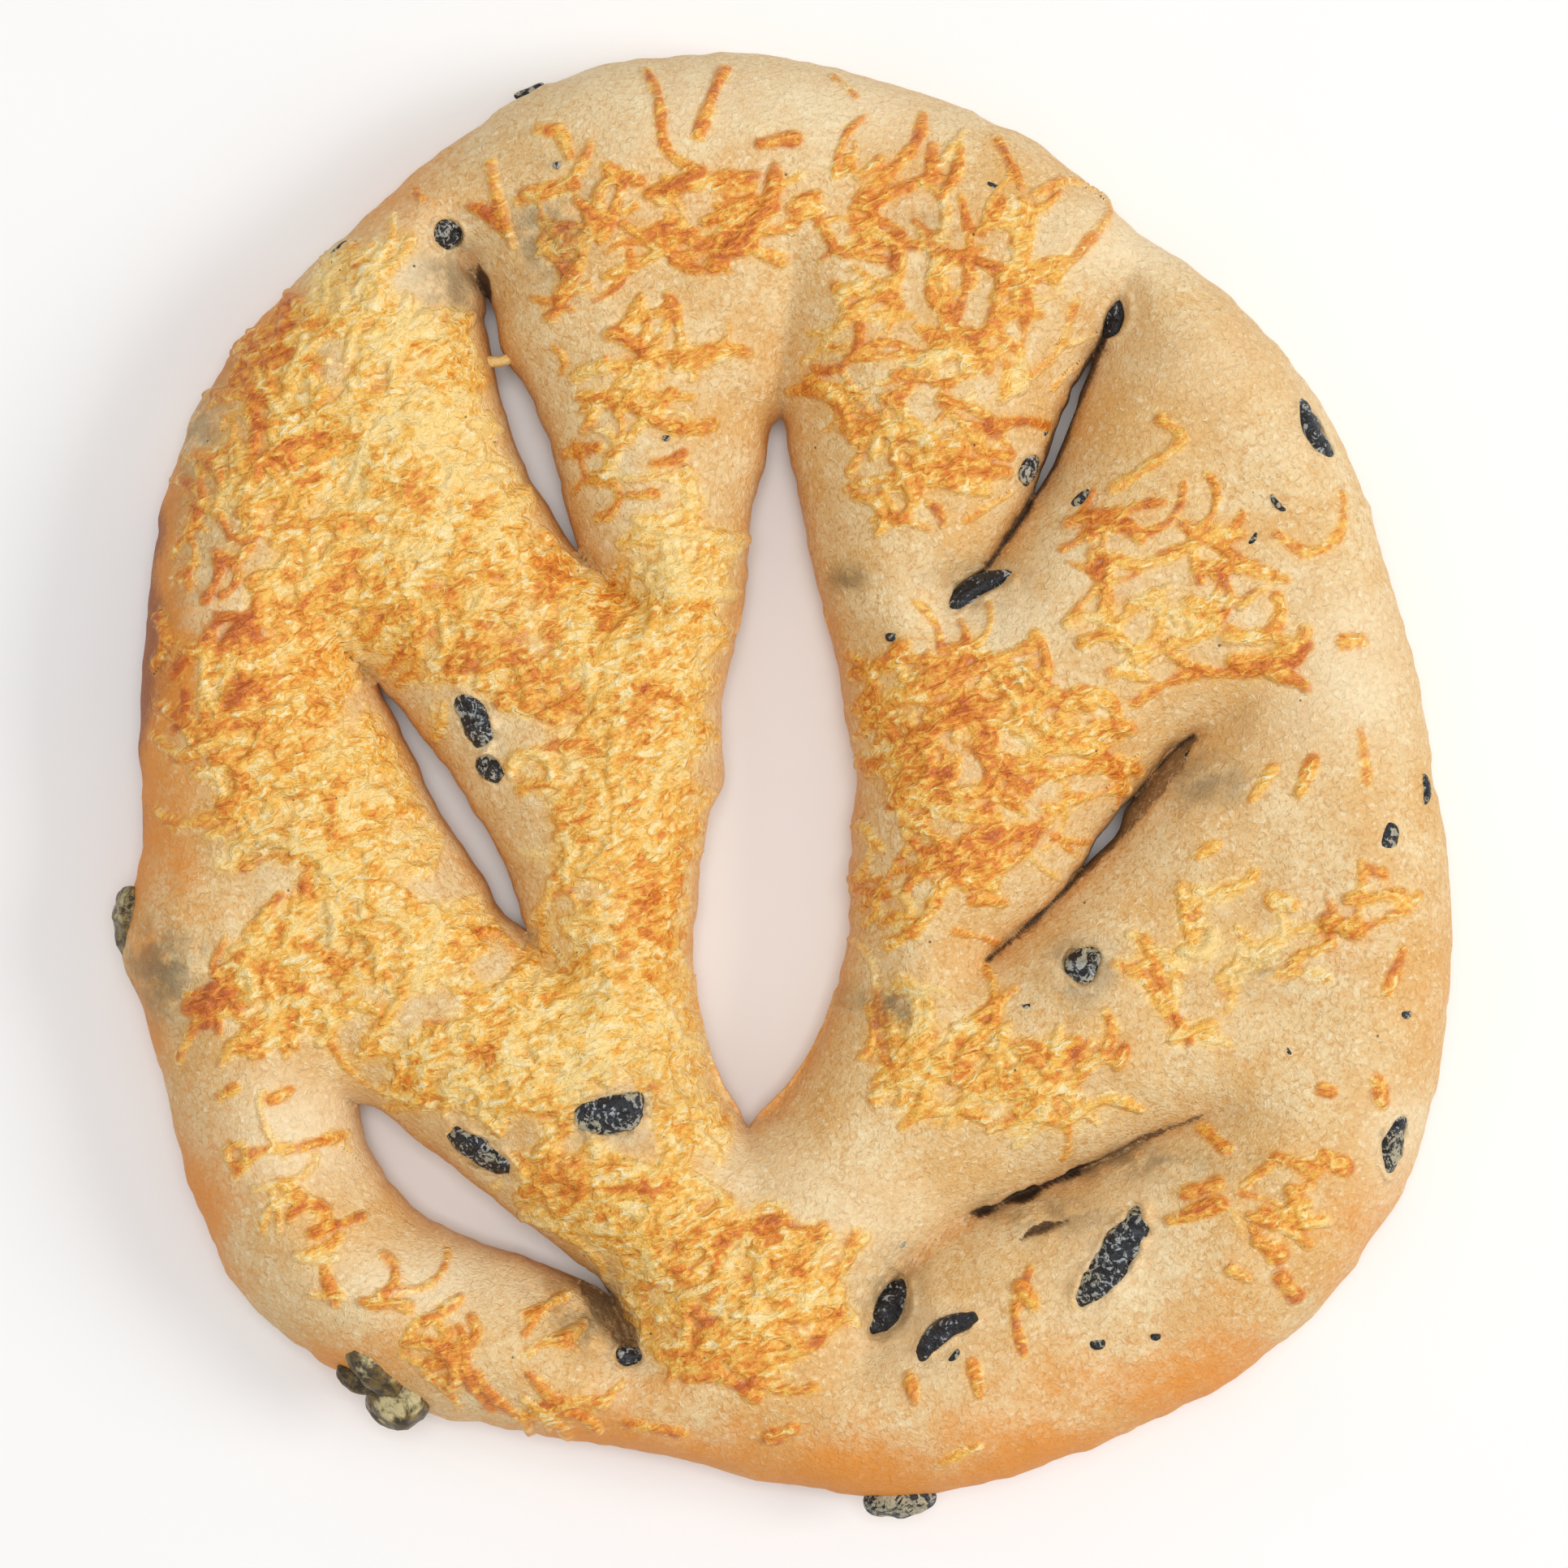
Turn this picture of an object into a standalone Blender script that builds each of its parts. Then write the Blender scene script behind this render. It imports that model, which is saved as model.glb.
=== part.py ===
"""A cheese and olive fougasse: a flat, leaf-shaped loaf with seven slashes in its dough.

The crust is one solid. Its plan is an outer outline with slashes cut through it, and its
height follows the distance to the nearest edge, so that every strip of dough puffs up
into a roll. Melted cheese shreds are fused to it, and each olive piece is a solid of its
own, set in a pocket. Sizes are in millimetres until the mesh is made, and the table is
at z = 0 with the loaf centred over the origin.
"""

import math
import random

import bmesh
import bpy
import numpy as np
from mathutils.geometry import delaunay_2d_cdt

MM = 0.001

# Heights and roundings of the dough.
CREST_HEIGHT = 25.0      # top of a broad roll above the table
EDGE_HEIGHT = 8.5        # height at which the side bulges furthest out
SHOULDER_RUN = 17.0      # distance from an edge over which the top rises
SHOULDER_POWER = 2.15    # above 2, the shoulder is fuller than a quarter ellipse
FOOT_RUN = 4.5           # distance from an edge at which the base is flat
BASE_HEALING = 15.0      # how much further a closed crease has healed at the base
ROLL_BLEND = 2.2         # how softly the rises from two edges meet on a roll
SWELL = 1.1              # slow unevenness of the crest

# Mesh steps.
CURVE_STEP = 1.0
OUTLINE_STEP = 4.6
SLASH_STEP = 3.0
TOP_RINGS = (0.5, 2.2)
BASE_RINGS = (1.2, 4.6)
TOP_STEP = 5.0
BASE_STEP = 24.0
CREASE_SIDE = 1.5
LEAST_OPEN = 0.12        # half width below which a slash counts as closed
LEAST_HEALED = -9.0      # beyond this a crease no longer shows
FLAT_ANGLE = math.radians(1.5)
LEAST_EDGE = 0.02        # least distance from an edge, which keeps the rise defined
GRID_REACH = 110.0       # half side of the square that a grid of points fills
RING_KEPT = 0.85         # share of its distance that an inset point keeps to all edges
CREASE_EDGE_GAP = 0.5
RING_CREASE_GAP = 0.9
GRID_POINT_GAP = 0.62    # of the step, between the grid and the other points
BASE_EDGE_GAP = 8.0
NORMAL_STEP = 0.8

# The outer outline, clockwise from the top.
OUTLINE = [
    (-12, 105), (4, 104), (21, 98.8), (34, 93.6), (46, 84.6), (51, 79.6), (63.5, 70.8),
    (74, 59), (81.3, 47.4), (86.3, 33.3), (90.2, 19), (93, 5), (95.2, -9), (96.2, -24),
    (94.2, -41.5), (90.3, -55.6), (82, -69.6), (73, -79), (60, -88.3), (45, -95.2),
    (29, -100.8), (12, -102.4), (-4, -100), (-20, -96.4), (-40, -92.8), (-54, -89.5),
    (-66.5, -83), (-77.6, -73.8), (-84.6, -60.5), (-88.4, -46), (-91.6, -35.4),
    (-95.2, -25), (-94.4, -17.5), (-92.4, -8), (-92.8, 5), (-91.6, 24), (-89, 41.5),
    (-82.9, 56.7), (-72, 70.6), (-56.6, 84.8), (-40, 97.6), (-27, 103.2),
]

# Slashes in the dough: x, y and half width along each. Below zero the slash is closed,
# and the number says how far its crease has healed.
SLASHES = {
    "centre": [
        (1.4, 82, -15), (1.2, 74, -7), (0.8, 66, -3.2), (0.2, 58, -1.4), (-0.4, 54, -0.6),
        (-0.8, 51.6, 0.9), (-0.9, 47.4, 1.7), (-1.0, 38, 3.9), (-0.3, 28.7, 4.9),
        (0.0, 19.3, 7.3), (-0.2, 10, 8.8), (0.8, 1, 9.4), (-0.9, -9, 10.5),
        (-2.1, -23, 11.1), (-3.2, -32.5, 9.2), (-4.2, -41.5, 5.8), (-4.8, -46.4, 2.1),
        (-5, -49.2, 0.2), (-4.6, -52, -2.4), (-4, -58, -8), (-3.6, -64, -15),
    ],
    "upper_left": [
        (-51, 84, -15), (-48, 79.4, -5), (-45.6, 75.2, -0.8), (-44, 71.8, -0.2),
        (-42.9, 69.4, 0.4), (-42.2, 66.2, 0.9), (-41.5, 62.8, 0.7), (-40.2, 59.4, 1.2),
        (-38.8, 56.4, 1.9), (-37.4, 52, 2.3), (-35.8, 47.4, 2.2), (-33.9, 42.7, 1.6),
        (-31.7, 38, 1.0), (-29.8, 33.8, 0.2), (-26.6, 30.2, -0.6), (-21.5, 26.4, -3),
        (-15, 22, -14),
    ],
    "left": [
        (-68, 24, -15), (-63.4, 19.6, -3), (-61, 17.2, -0.6), (-58.4, 14.2, 0.2),
        (-55.4, 10, 0.8), (-52.6, 5.3, 1.4), (-49.6, 0.6, 2.0), (-47.1, -4.1, 2.1),
        (-44.2, -8.8, 2.1), (-41.6, -13.5, 1.8), (-39.2, -18, 1.2), (-37.4, -20.6, 0.3),
        (-34.8, -23.6, -0.8), (-31, -26.8, -3.4), (-25, -31, -14),
    ],
    "lower_left": [
        (-67, -41, -15), (-63.4, -44.4, -2.6), (-61, -46.4, 0.3), (-59.2, -48.6, 1.9),
        (-56.9, -52, 3.1), (-51.2, -57.7, 4.1), (-43, -62.8, 3.3), (-36, -66.6, 2.0),
        (-29.6, -70.2, 0.9), (-26, -73, 0.3), (-23.6, -76.5, -0.4), (-21.8, -80, -1.8),
        (-19.6, -86, -12),
    ],
    "upper_right": [
        (52, 84, -11), (50.2, 76, -7), (48.6, 71, -3.2), (47, 66.6, -0.8),
        (45.4, 63, -0.2), (44, 60.2, 0.3), (41.6, 55, 0.7), (39.6, 50, 0.75),
        (37.9, 45.5, 0.5), (36.3, 42, 0.15), (34.5, 38.8, -0.2), (31.5, 34.5, -0.35),
        (28.5, 30.5, -1.0), (24, 26.5, -3), (18, 21.5, -14),
    ],
    "right": [
        (71, 14, -15), (64.6, 10.4, -5), (59.5, 7.4, -1.5), (56.6, 5.3, -0.35),
        (53, 1.5, -0.2), (49.6, -3, 0.25), (47.6, -6.3, 0.8), (45.4, -9.3, 0.7),
        (43.4, -11.8, 0.15), (39.5, -16, -0.25), (33.5, -21.5, -0.5), (28, -26, -1.8),
        (21, -31, -14),
    ],
    "lower_right": [
        (69, -44, -15), (63.6, -46.2, -4.5), (57, -48.3, -1.6), (50.8, -50.9, -0.7),
        (42.6, -55.4, -0.35), (35, -58.6, -0.3), (27.4, -61.8, -0.3), (21.5, -65.6, -0.4),
        (16.8, -70.2, -0.6), (13.8, -75.6, -1.4), (11, -81.6, -6), (8.6, -87, -15),
    ],
}

# Olive pieces set in the top: x, y, length, width, thickness, heading in degrees, how
# far the middle lies under the crust, and how far the piece is bent.
TOP_OLIVES = {
    "black_olive_long": (46.2, -66.9, 17.0, 5.6, 4.6, 56, 0.7, 0.04),
    "black_olive_groove": (14.9, -74.4, 11.0, 5.6, 5.0, 68, 0.5, 0.06),
    "black_olive_sliver": (22.6, -77.6, 10.4, 3.2, 3.2, 36, 0.5, -0.10),
    "black_olive_heel": (-24.3, -46.4, 10.4, 6.2, 4.4, 14, 0.9, 0.04),
    "black_olive_bank": (-43.0, -52.2, 12.2, 4.8, 4.2, -30, 0.9, 0.08),
    "black_olive_left": (-44.0, 8.8, 9.0, 4.7, 4.2, -68, 0.9, -0.06),
    "black_olive_left_chip": (-41.8, 2.2, 4.8, 3.6, 3.0, -30, 0.6, 0.0),
    "black_olive_fork": (27.6, 27.4, 11.6, 3.8, 3.8, 30, 0.2, -0.18),
    "black_olive_slit_top": (47.4, 66.6, 6.4, 3.4, 3.6, 72, 0.3, 0.0),
    "black_olive_slit_side": (34.8, 44.6, 4.8, 3.2, 3.4, 62, 0.6, 0.0),
    "black_olive_rim_upper": (75.4, 50.5, 10.2, 3.4, 3.2, -64, 0.6, 0.12),
    "black_olive_rim_lower": (86.5, -51.3, 9.4, 3.8, 3.6, 78, 0.7, -0.08),
    "black_olive_veiled": (42.2, -25.4, 6.2, 5.6, 3.8, 58, 0.9, 0.0),
    "black_olive_shoulder": (-47.8, 77.9, 4.8, 4.6, 3.4, 20, 0.5, 0.0),
    "black_olive_notch": (-22.2, -81.2, 4.2, 3.6, 3.6, 25, 0.5, 0.0),
}
# Pieces that stand out of the side: x, y, z, length, width, thickness, heading.
SIDE_OLIVES = {
    "black_olive_foot": (16.4, -102.7, 11.5, 10.4, 5.6, 5.6, 4),
    "green_olive_side": (-93.4, -20.5, 12.5, 12.0, 6.4, 5.6, 84),
}
# A folded piece of green olive is three lobes grown together.
CURL_LOBES = [
    (-58.8, -82.2, 19.4, 12.0, 5.0, 4.8, -54),
    (-55.2, -87.8, 15.8, 9.4, 8.2, 6.2, 40),
    (-61.0, -85.0, 16.4, 6.8, 3.4, 3.4, -28),
]
OLIVE_GAP = 0.3
OLIVE_RINGS = 6
OLIVE_SIDES = 8
OLIVE_FULLNESS = 0.8     # below 1, the ends are blunter than an ellipse's
OLIVE_CREASE = 0.16
CREASE_SHARPNESS = 6
BEND_MIDDLE = 0.4        # share of a bent piece's rise that lies on each side of its axis
SIDE_OLIVE_UPWARD = 0.6  # how far a piece in the side faces up, for each 1 outward
CURL_UPWARD = 1.6
CURL_BEND = 0.06

# Shreds that lie apart or stand out: width, then the points that they pass.
LAID_SHREDS = [
    (2.6, (-19.6, 101.6), (-17.7, 96.7), (-16.6, 89.4), (-11.2, 85.4)),
    (3.0, (-8.5, 101.6), (-10.6, 96), (-12.0, 91.4)),
    (2.2, (6.9, 101.0), (10.2, 97.6)),
    (3.0, (19.8, 95.2), (18.2, 90.2), (9.8, 81.3)),
    (2.8, (30.4, 91.8), (33.6, 84.6)),
    (2.6, (35.4, 83.6), (41, 86), (46.6, 82.6), (42.6, 76.2), (37.9, 71.4)),
    (3.0, (-41.6, 87.7), (-40.5, 82.5), (-38.4, 76.4)),
    (3.4, (-36.4, 83), (-29.4, 84.2)),
    (2.8, (69.5, 35.1), (74.2, 32.7), (78.8, 35.7), (79.4, 40.9)),
    (2.2, (25, 83), (26.2, 76.6), (25.6, 69.6), (23.3, 63.7)),
    (2.2, (41.4, 68.6), (38.4, 61), (30.9, 54.4)),
    (2.8, (53.1, 51.5), (56, 48.6), (51, 44.5), (46.4, 41.8)),
    (3.0, (43.6, 32.6), (50.8, 31), (58.9, 34.6)),
    (2.6, (49.6, 11.4), (56.6, 15.2), (69.5, 16.2), (74.2, 19.6)),
    (3.0, (34.4, 19.3), (28.7, 17), (21.5, 13.5), (14.6, 12.3)),
    (3.5, (18, 6.4), (25, 9.9), (30.7, 11.1)),
    (2.6, (26.2, -8.8), (36.4, -6.4)),
    (2.4, (50.8, -22.1), (54.3, -31), (57.2, -36.3)),
    (2.4, (34.8, -68.6), (32.6, -74.3), (33.8, -80.4)),
    (3.6, (61.3, -59), (54.3, -61.6)),
    (3.2, (69.5, -52.6), (75.2, -54.4)),
    (3.0, (-86, -39), (-82.5, -33.3), (-78.5, -32)),
    (2.6, (-77.8, -55.5), (-74.3, -51.9), (-68, -51.5)),
    (3.4, (-71, -56.3), (-64.9, -60.3)),
    (3.0, (-64.8, -68.4), (-63.4, -73.4)),
    (2.6, (-81.8, 54.2), (-74.4, 56.1)),
    (2.6, (-83.2, 45), (-82.6, 38.8), (-86.8, 32.5)),
    (3.0, (-88.6, 24), (-86.4, 19.3), (-80.4, 19.3)),
    (3.0, (-89.6, 7), (-84.9, 4), (-78, 7.6)),
    (2.8, (-89.6, -3.5), (-86, -5.6), (-78, -4.1)),
    (3.0, (-10.6, -82.4), (-4, -86.6)),
    (3.4, (-22, -90.6), (-14.8, -92.0)),
    (3.0, (85.0, -29.4), (87.4, -23.6)),
    (2.6, (81.4, 7.4), (82.4, 0.4)),
    (2.6, (-45, -78), (-44.6, -84), (-41.4, -89)),
    (2.6, (-36, -83.2), (-30.6, -89)),
    (3.4, (-1.2, 86.7), (-2.4, 81.5), (-10, 73)),
]
# A string of cheese spans the upper left slash: x, y and z of the points it passes.
STRING = [(-46.4, 61.2, 14.4), (-43.4, 60.8, 12.6), (-41.2, 60.6, 12.0),
          (-38.8, 61.2, 12.6), (-36.2, 61.8, 14.6)]
STRING_WIDTH = 1.6
SHRED_HEIGHT = 2.1
SHRED_LIFT = 0.3
SHRED_SIDES = 5
SHRED_STEP = 5.6
SHRED_END_TAPER = 0.72
SHRED_TIP = 0.4          # of the width, beyond the last points
SHRED_ROLL = 0.25        # of one side, which turns a flat side down
OLIVE_CLEARANCE = 1.6
LAID_EDGE_CLEARANCE = 1.0
HEAPED_EDGE_CLEARANCE = 3.0

# Heaped shreds: x, y, reach along x and y, and how many are tried.
HEAPS = [
    (-63, 50, 16, 20, 6), (-48, 22, 22, 12, 4), (-72, -6, 12, 20, 4),
    (-24, 4, 10, 26, 5), (-50, -34, 26, 8, 4), (-8, -70, 14, 12, 4),
    (-14, 62, 14, 12, 3), (18, 52, 12, 14, 3), (30, -30, 14, 8, 3),
]
HEAP_SEED = 7
HEAPED_LENGTH = (7.0, 12.0)
HEAPED_WIDTH = (2.6, 3.4)
HEAPED_BOW = 0.35        # of the half length, sideways

DOUGH_COLOUR = (0.72, 0.52, 0.30)
BLACK_OLIVE_COLOUR = (0.03, 0.03, 0.04)
GREEN_OLIVE_COLOUR = (0.25, 0.21, 0.09)


def catmull_rom(stations, step, closed=False):
    """Points a step apart on the smooth curve through the stations, column by column."""
    knots = np.array(stations, float)
    count = len(knots)
    if closed:
        before, after, far = np.roll(knots, 1, 0), np.roll(knots, -1, 0), np.roll(knots, -2, 0)
        spans = range(count)
    else:
        before = np.vstack([2 * knots[0] - knots[1], knots[:-1]])
        after = np.vstack([knots[1:], 2 * knots[-1] - knots[-2]])
        far = np.vstack([knots[2:], after[-1:], after[-1:]])
        spans = range(count - 1)
    rows = []
    for i in spans:
        length = np.linalg.norm((after[i] - knots[i])[:2])
        pieces = max(1, round(length / step))
        for t in np.arange(pieces) / pieces:
            rows.append(0.5 * (
                2 * knots[i] + (after[i] - before[i]) * t
                + (2 * before[i] - 5 * knots[i] + 4 * after[i] - far[i]) * t**2
                + (3 * knots[i] - before[i] - 3 * after[i] + far[i]) * t**3
            ))
    if not closed:
        rows.append(knots[-1])
    return np.array(rows)


def segment_distance(points, line):
    """Least distance from each point to a line's segments, less the line's half width."""
    best = np.full(len(points), np.inf)
    for start, end in zip(line[:-1], line[1:]):
        along = end[:2] - start[:2]
        offset = points - start[:2]
        t = np.clip(offset @ along / max(along @ along, 1e-12), 0, 1)
        gap = np.linalg.norm(offset - t[:, None] * along, axis=1)
        best = np.minimum(best, gap - (start[2] + t * (end[2] - start[2])))
    return best


def closed_line(loop):
    """A loop of plan points as a line of no width that ends where it starts."""
    ring = np.vstack([loop, loop[:1]])
    return np.column_stack([ring, np.zeros(len(ring))])


OUTLINE_LINE = closed_line(catmull_rom(OUTLINE, CURVE_STEP, closed=True))
SLASH_LINES = [catmull_rom(rows, CURVE_STEP) for rows in SLASHES.values()]


def edge_distance(points, healing=1.0):
    """Distance to the nearest edge, with the meeting of two edges' rises rounded."""
    each = [segment_distance(points, OUTLINE_LINE)]
    for line in SLASH_LINES:
        widths = np.where(line[:, 2] < 0, line[:, 2] * healing, line[:, 2])
        each.append(segment_distance(points, np.column_stack([line[:, :2], widths])))
    each = np.array(each)
    nearest = each.min(axis=0)
    spread = np.exp(-(each - nearest) / ROLL_BLEND).sum(axis=0)
    return np.maximum(nearest - ROLL_BLEND * np.log(spread), LEAST_EDGE)


def rounded_rise(share, power):
    """0 to 1 with a vertical start and a level end."""
    rest = 1 - np.clip(share, 0, 1)
    return (1 - rest**power) ** (1 / power)


def swell(points):
    """Slow hills and hollows of the hand-shaped dough."""
    x, y = points[:, 0], points[:, 1]
    return SWELL * (np.sin(x / 17.0 + 0.6) * np.cos(y / 21.0 - 0.4)
                    + 0.6 * np.sin((x + y) / 11.0 + 1.1))


def top_height(points):
    rise = rounded_rise(edge_distance(points) / SHOULDER_RUN, SHOULDER_POWER)
    return EDGE_HEIGHT + (CREST_HEIGHT - EDGE_HEIGHT + swell(points)) * rise


def base_height(points):
    share = edge_distance(points, BASE_HEALING) / FOOT_RUN
    return EDGE_HEIGHT * (1 - rounded_rise(share, 2.0))


def surface_normal(points, step=NORMAL_STEP):
    """Unit normals of the top."""
    dx = top_height(points + [step, 0]) - top_height(points - [step, 0])
    dy = top_height(points + [0, step]) - top_height(points - [0, step])
    normals = np.column_stack([-dx, -dy, np.full(len(points), 2 * step)])
    return normals / np.linalg.norm(normals, axis=1)[:, None]


def side_vectors(line):
    """Unit vectors to the left of a plan line."""
    tangent = np.gradient(line[:, :2], axis=0)
    tangent /= np.linalg.norm(tangent, axis=1)[:, None]
    return np.column_stack([-tangent[:, 1], tangent[:, 0]])


def slash_loop(rows):
    """The closed edge of the open stretch of a slash, or None if it is closed all along."""
    line = catmull_rom(rows, SLASH_STEP)
    plan, widths = line[:, :2], line[:, 2:]
    is_open = line[:, 2] > LEAST_OPEN
    if is_open.sum() < 2:
        return None
    side = side_vectors(line) * widths
    left = (plan + side)[is_open]
    right = (plan - side)[is_open][::-1]
    first, last = np.flatnonzero(is_open)[[0, -1]]
    return np.vstack([(plan[first] + plan[first - 1]) / 2, left,
                      (plan[last] + plan[last + 1]) / 2, right])


def plan_loops():
    loops = [catmull_rom(OUTLINE, OUTLINE_STEP, closed=True)]
    loops += [loop for rows in SLASHES.values() if (loop := slash_loop(rows)) is not None]
    return loops


def inside(points, loops):
    """Whether each point lies on dough, by counting the edges to its right."""
    odd = np.zeros(len(points), bool)
    for loop in loops:
        for (x0, y0), (x1, y1) in zip(loop, np.roll(loop, -1, 0)):
            crosses = (y0 > points[:, 1]) != (y1 > points[:, 1])
            reach = x0 + (points[:, 1] - y0) * (x1 - x0) / (y1 - y0 if y1 != y0 else 1e-12)
            odd ^= crosses & (points[:, 0] < reach)
    return odd


def loop_distance(points, loops):
    return np.min([segment_distance(points, closed_line(loop)) for loop in loops], axis=0)


def inset_points(loops, rings):
    """Points at set distances inside every edge, dropped where another edge is nearer."""
    kept = []
    for loop in loops:
        tangent = np.roll(loop, -1, 0) - np.roll(loop, 1, 0)
        tangent /= np.linalg.norm(tangent, axis=1)[:, None]
        normal = np.column_stack([-tangent[:, 1], tangent[:, 0]])
        for ring in rings:
            for side in (1, -1):
                moved = loop + side * ring * normal
                moved = moved[inside(moved, loops)]
                if len(moved):
                    kept.append(moved[loop_distance(moved, loops) > RING_KEPT * ring])
    return np.vstack(kept)


def crease_points(loops):
    """Rows along and beside each healed crease."""
    rows = []
    for stations in SLASHES.values():
        line = catmull_rom(stations, SLASH_STEP)
        healed = (line[:, 2] < 0) & (line[:, 2] > LEAST_HEALED)
        for offset in (0, CREASE_SIDE, -CREASE_SIDE):
            rows.append((line[:, :2] + offset * side_vectors(line))[healed])
    points = np.vstack(rows)
    points = points[inside(points, loops)]
    return points[loop_distance(points, loops) > CREASE_EDGE_GAP]


def hex_grid(step, loops, clearance):
    row_step = step * math.sqrt(0.75)
    rows = []
    for j, y in enumerate(np.arange(-GRID_REACH, GRID_REACH, row_step)):
        x = np.arange(-GRID_REACH, GRID_REACH, step) + (j % 2) * step / 2
        rows.append(np.column_stack([x, np.full(len(x), y)]))
    points = np.vstack(rows)
    points = points[inside(points, loops)]
    return points[loop_distance(points, loops) > clearance]


def thinned(points, others, least):
    """The points that keep clear of the others."""
    gap = np.array([np.min(np.linalg.norm(others - p, axis=1)) for p in points])
    return points[gap > least]


def triangulate(loops, extra):
    """Plan triangles of the dough. Returns points, faces and each loop point's index."""
    edge_points = np.vstack(loops)
    points = np.vstack([edge_points, extra])
    edges, start = [], 0
    for loop in loops:
        edges += [(start + i, start + (i + 1) % len(loop)) for i in range(len(loop))]
        start += len(loop)
    found = delaunay_2d_cdt([tuple(p) for p in points], edges, [], 0, 1e-5)
    plan = np.array([tuple(v) for v in found[0]])
    faces = np.array([f for f in found[2] if len(f) == 3])
    faces = faces[inside(plan[faces].mean(axis=1), loops)]
    index = {old: new for new, olds in enumerate(found[3]) for old in olds}
    return plan, faces, [index[i] for i in range(len(edge_points))]


def upward(plan, faces):
    """Faces in counter-clockwise order."""
    a, b, c = (plan[faces[:, k]] for k in range(3))
    turn = (b - a)[:, 0] * (c - a)[:, 1] - (b - a)[:, 1] * (c - a)[:, 0]
    return np.where(turn[:, None] > 0, faces, faces[:, ::-1])


def make_object(name, points, faces, material=None):
    mesh = bpy.data.meshes.new(name)
    mesh.from_pydata([tuple(p * MM) for p in np.asarray(points)], [], [tuple(f) for f in faces])
    mesh.shade_smooth()
    made = bpy.data.objects.new(name, mesh)
    bpy.context.scene.collection.objects.link(made)
    if material:
        mesh.materials.append(material)
    return made


def build_dough(material):
    """The closed body of dough: a top and a base that share the loops at edge height."""
    loops = plan_loops()
    creases = crease_points(loops)
    rings = thinned(inset_points(loops, TOP_RINGS), creases, RING_CREASE_GAP)
    grid = hex_grid(TOP_STEP, loops, TOP_RINGS[-1] + TOP_STEP / 2)
    grid = thinned(grid, np.vstack([creases, rings]), GRID_POINT_GAP * TOP_STEP)
    top, top_faces, top_edge = triangulate(loops, np.vstack([creases, rings, grid]))

    base_rings = inset_points(loops, BASE_RINGS)
    base_grid = hex_grid(BASE_STEP, loops, BASE_EDGE_GAP)
    base, base_faces, base_edge = triangulate(loops, np.vstack([base_rings, base_grid]))

    top_z = top_height(top)
    top_z[top_edge] = EDGE_HEIGHT
    base_z = base_height(base)
    points = list(np.column_stack([top, top_z]))
    shared = dict(zip(base_edge, top_edge))
    index = []
    for i, (x, y) in enumerate(base):
        if i in shared:
            index.append(shared[i])
        else:
            index.append(len(points))
            points.append(np.array([x, y, base_z[i]]))
    faces = [tuple(f) for f in upward(top, top_faces)]
    faces += [tuple(index[i] for i in f[::-1]) for f in upward(base, base_faces)]
    return make_object("crust", points, faces, material)


def ringed_faces(rings, sides):
    """Faces of a body of rings of points that ends in a single point at each end."""
    faces = [(0, 1 + (k + 1) % sides, 1 + k) for k in range(sides)]
    for r in range(rings - 1):
        near, far = 1 + r * sides, 1 + (r + 1) * sides
        for k in range(sides):
            n = (k + 1) % sides
            faces.append((near + k, near + n, far + n))
            faces.append((near + k, far + n, far + k))
    tail, last = 1 + (rings - 1) * sides, 1 + rings * sides
    faces += [(last, tail + k, tail + (k + 1) % sides) for k in range(sides)]
    return faces


def lobe_points(size, bend, grow):
    """Points of a rounded piece along x, with a soft crease along its top."""
    length, width, thickness = size
    end_shift = (1 - BEND_MIDDLE) * bend * length
    points = [(-length / 2 - grow, end_shift, 0)]
    for r in range(1, OLIVE_RINGS):
        turn = math.pi * r / OLIVE_RINGS
        along = -math.cos(turn)
        girth = math.sin(turn) ** OLIVE_FULLNESS
        shift = bend * length * (along**2 - BEND_MIDDLE)
        for k in range(OLIVE_SIDES):
            angle = 2 * math.pi * (k + 0.5) / OLIVE_SIDES
            across, up = math.cos(angle), math.sin(angle)
            crease = 1 - OLIVE_CREASE * max(up, 0) ** CREASE_SHARPNESS
            points.append((along * (length / 2 + grow),
                           across * girth * (width / 2 + grow) + shift,
                           up * girth * (thickness / 2 * crease + grow)))
    points.append((length / 2 + grow, end_shift, 0))
    return np.array(points)


def make_lobe(name, piece, grow=0.0, material=None):
    """One rounded piece, turned to its heading and laid square to its normal."""
    centre, size, heading, normal, bend = piece
    up = np.array(normal) / np.linalg.norm(normal)
    turn = math.radians(heading)
    along = np.array([math.cos(turn), math.sin(turn), 0])
    along -= up * (along @ up)
    along /= np.linalg.norm(along)
    axes = np.array([along, np.cross(up, along), up])
    points = centre + lobe_points(size, bend, grow) @ axes
    return make_object(name, points, ringed_faces(OLIVE_RINGS - 1, OLIVE_SIDES), material)


def top_piece(row):
    """Centre, size, heading, normal and bend of a piece set in the top."""
    x, y, length, width, thickness, heading, sunk, bend = row
    spot = np.array([[x, y]], float)
    normal = surface_normal(spot)[0]
    centre = np.array([x, y, top_height(spot)[0]]) - normal * sunk
    return centre, (length, width, thickness), heading, normal, bend


def side_piece(row, upward_share, bend):
    """The same for a piece in the side, which faces outward and partly upward."""
    x, y, z, length, width, thickness, heading = row
    outward = np.array([x, y, 0]) / math.hypot(x, y)
    normal = outward + [0, 0, upward_share]
    return np.array([x, y, z]), (length, width, thickness), heading, normal, bend


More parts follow.
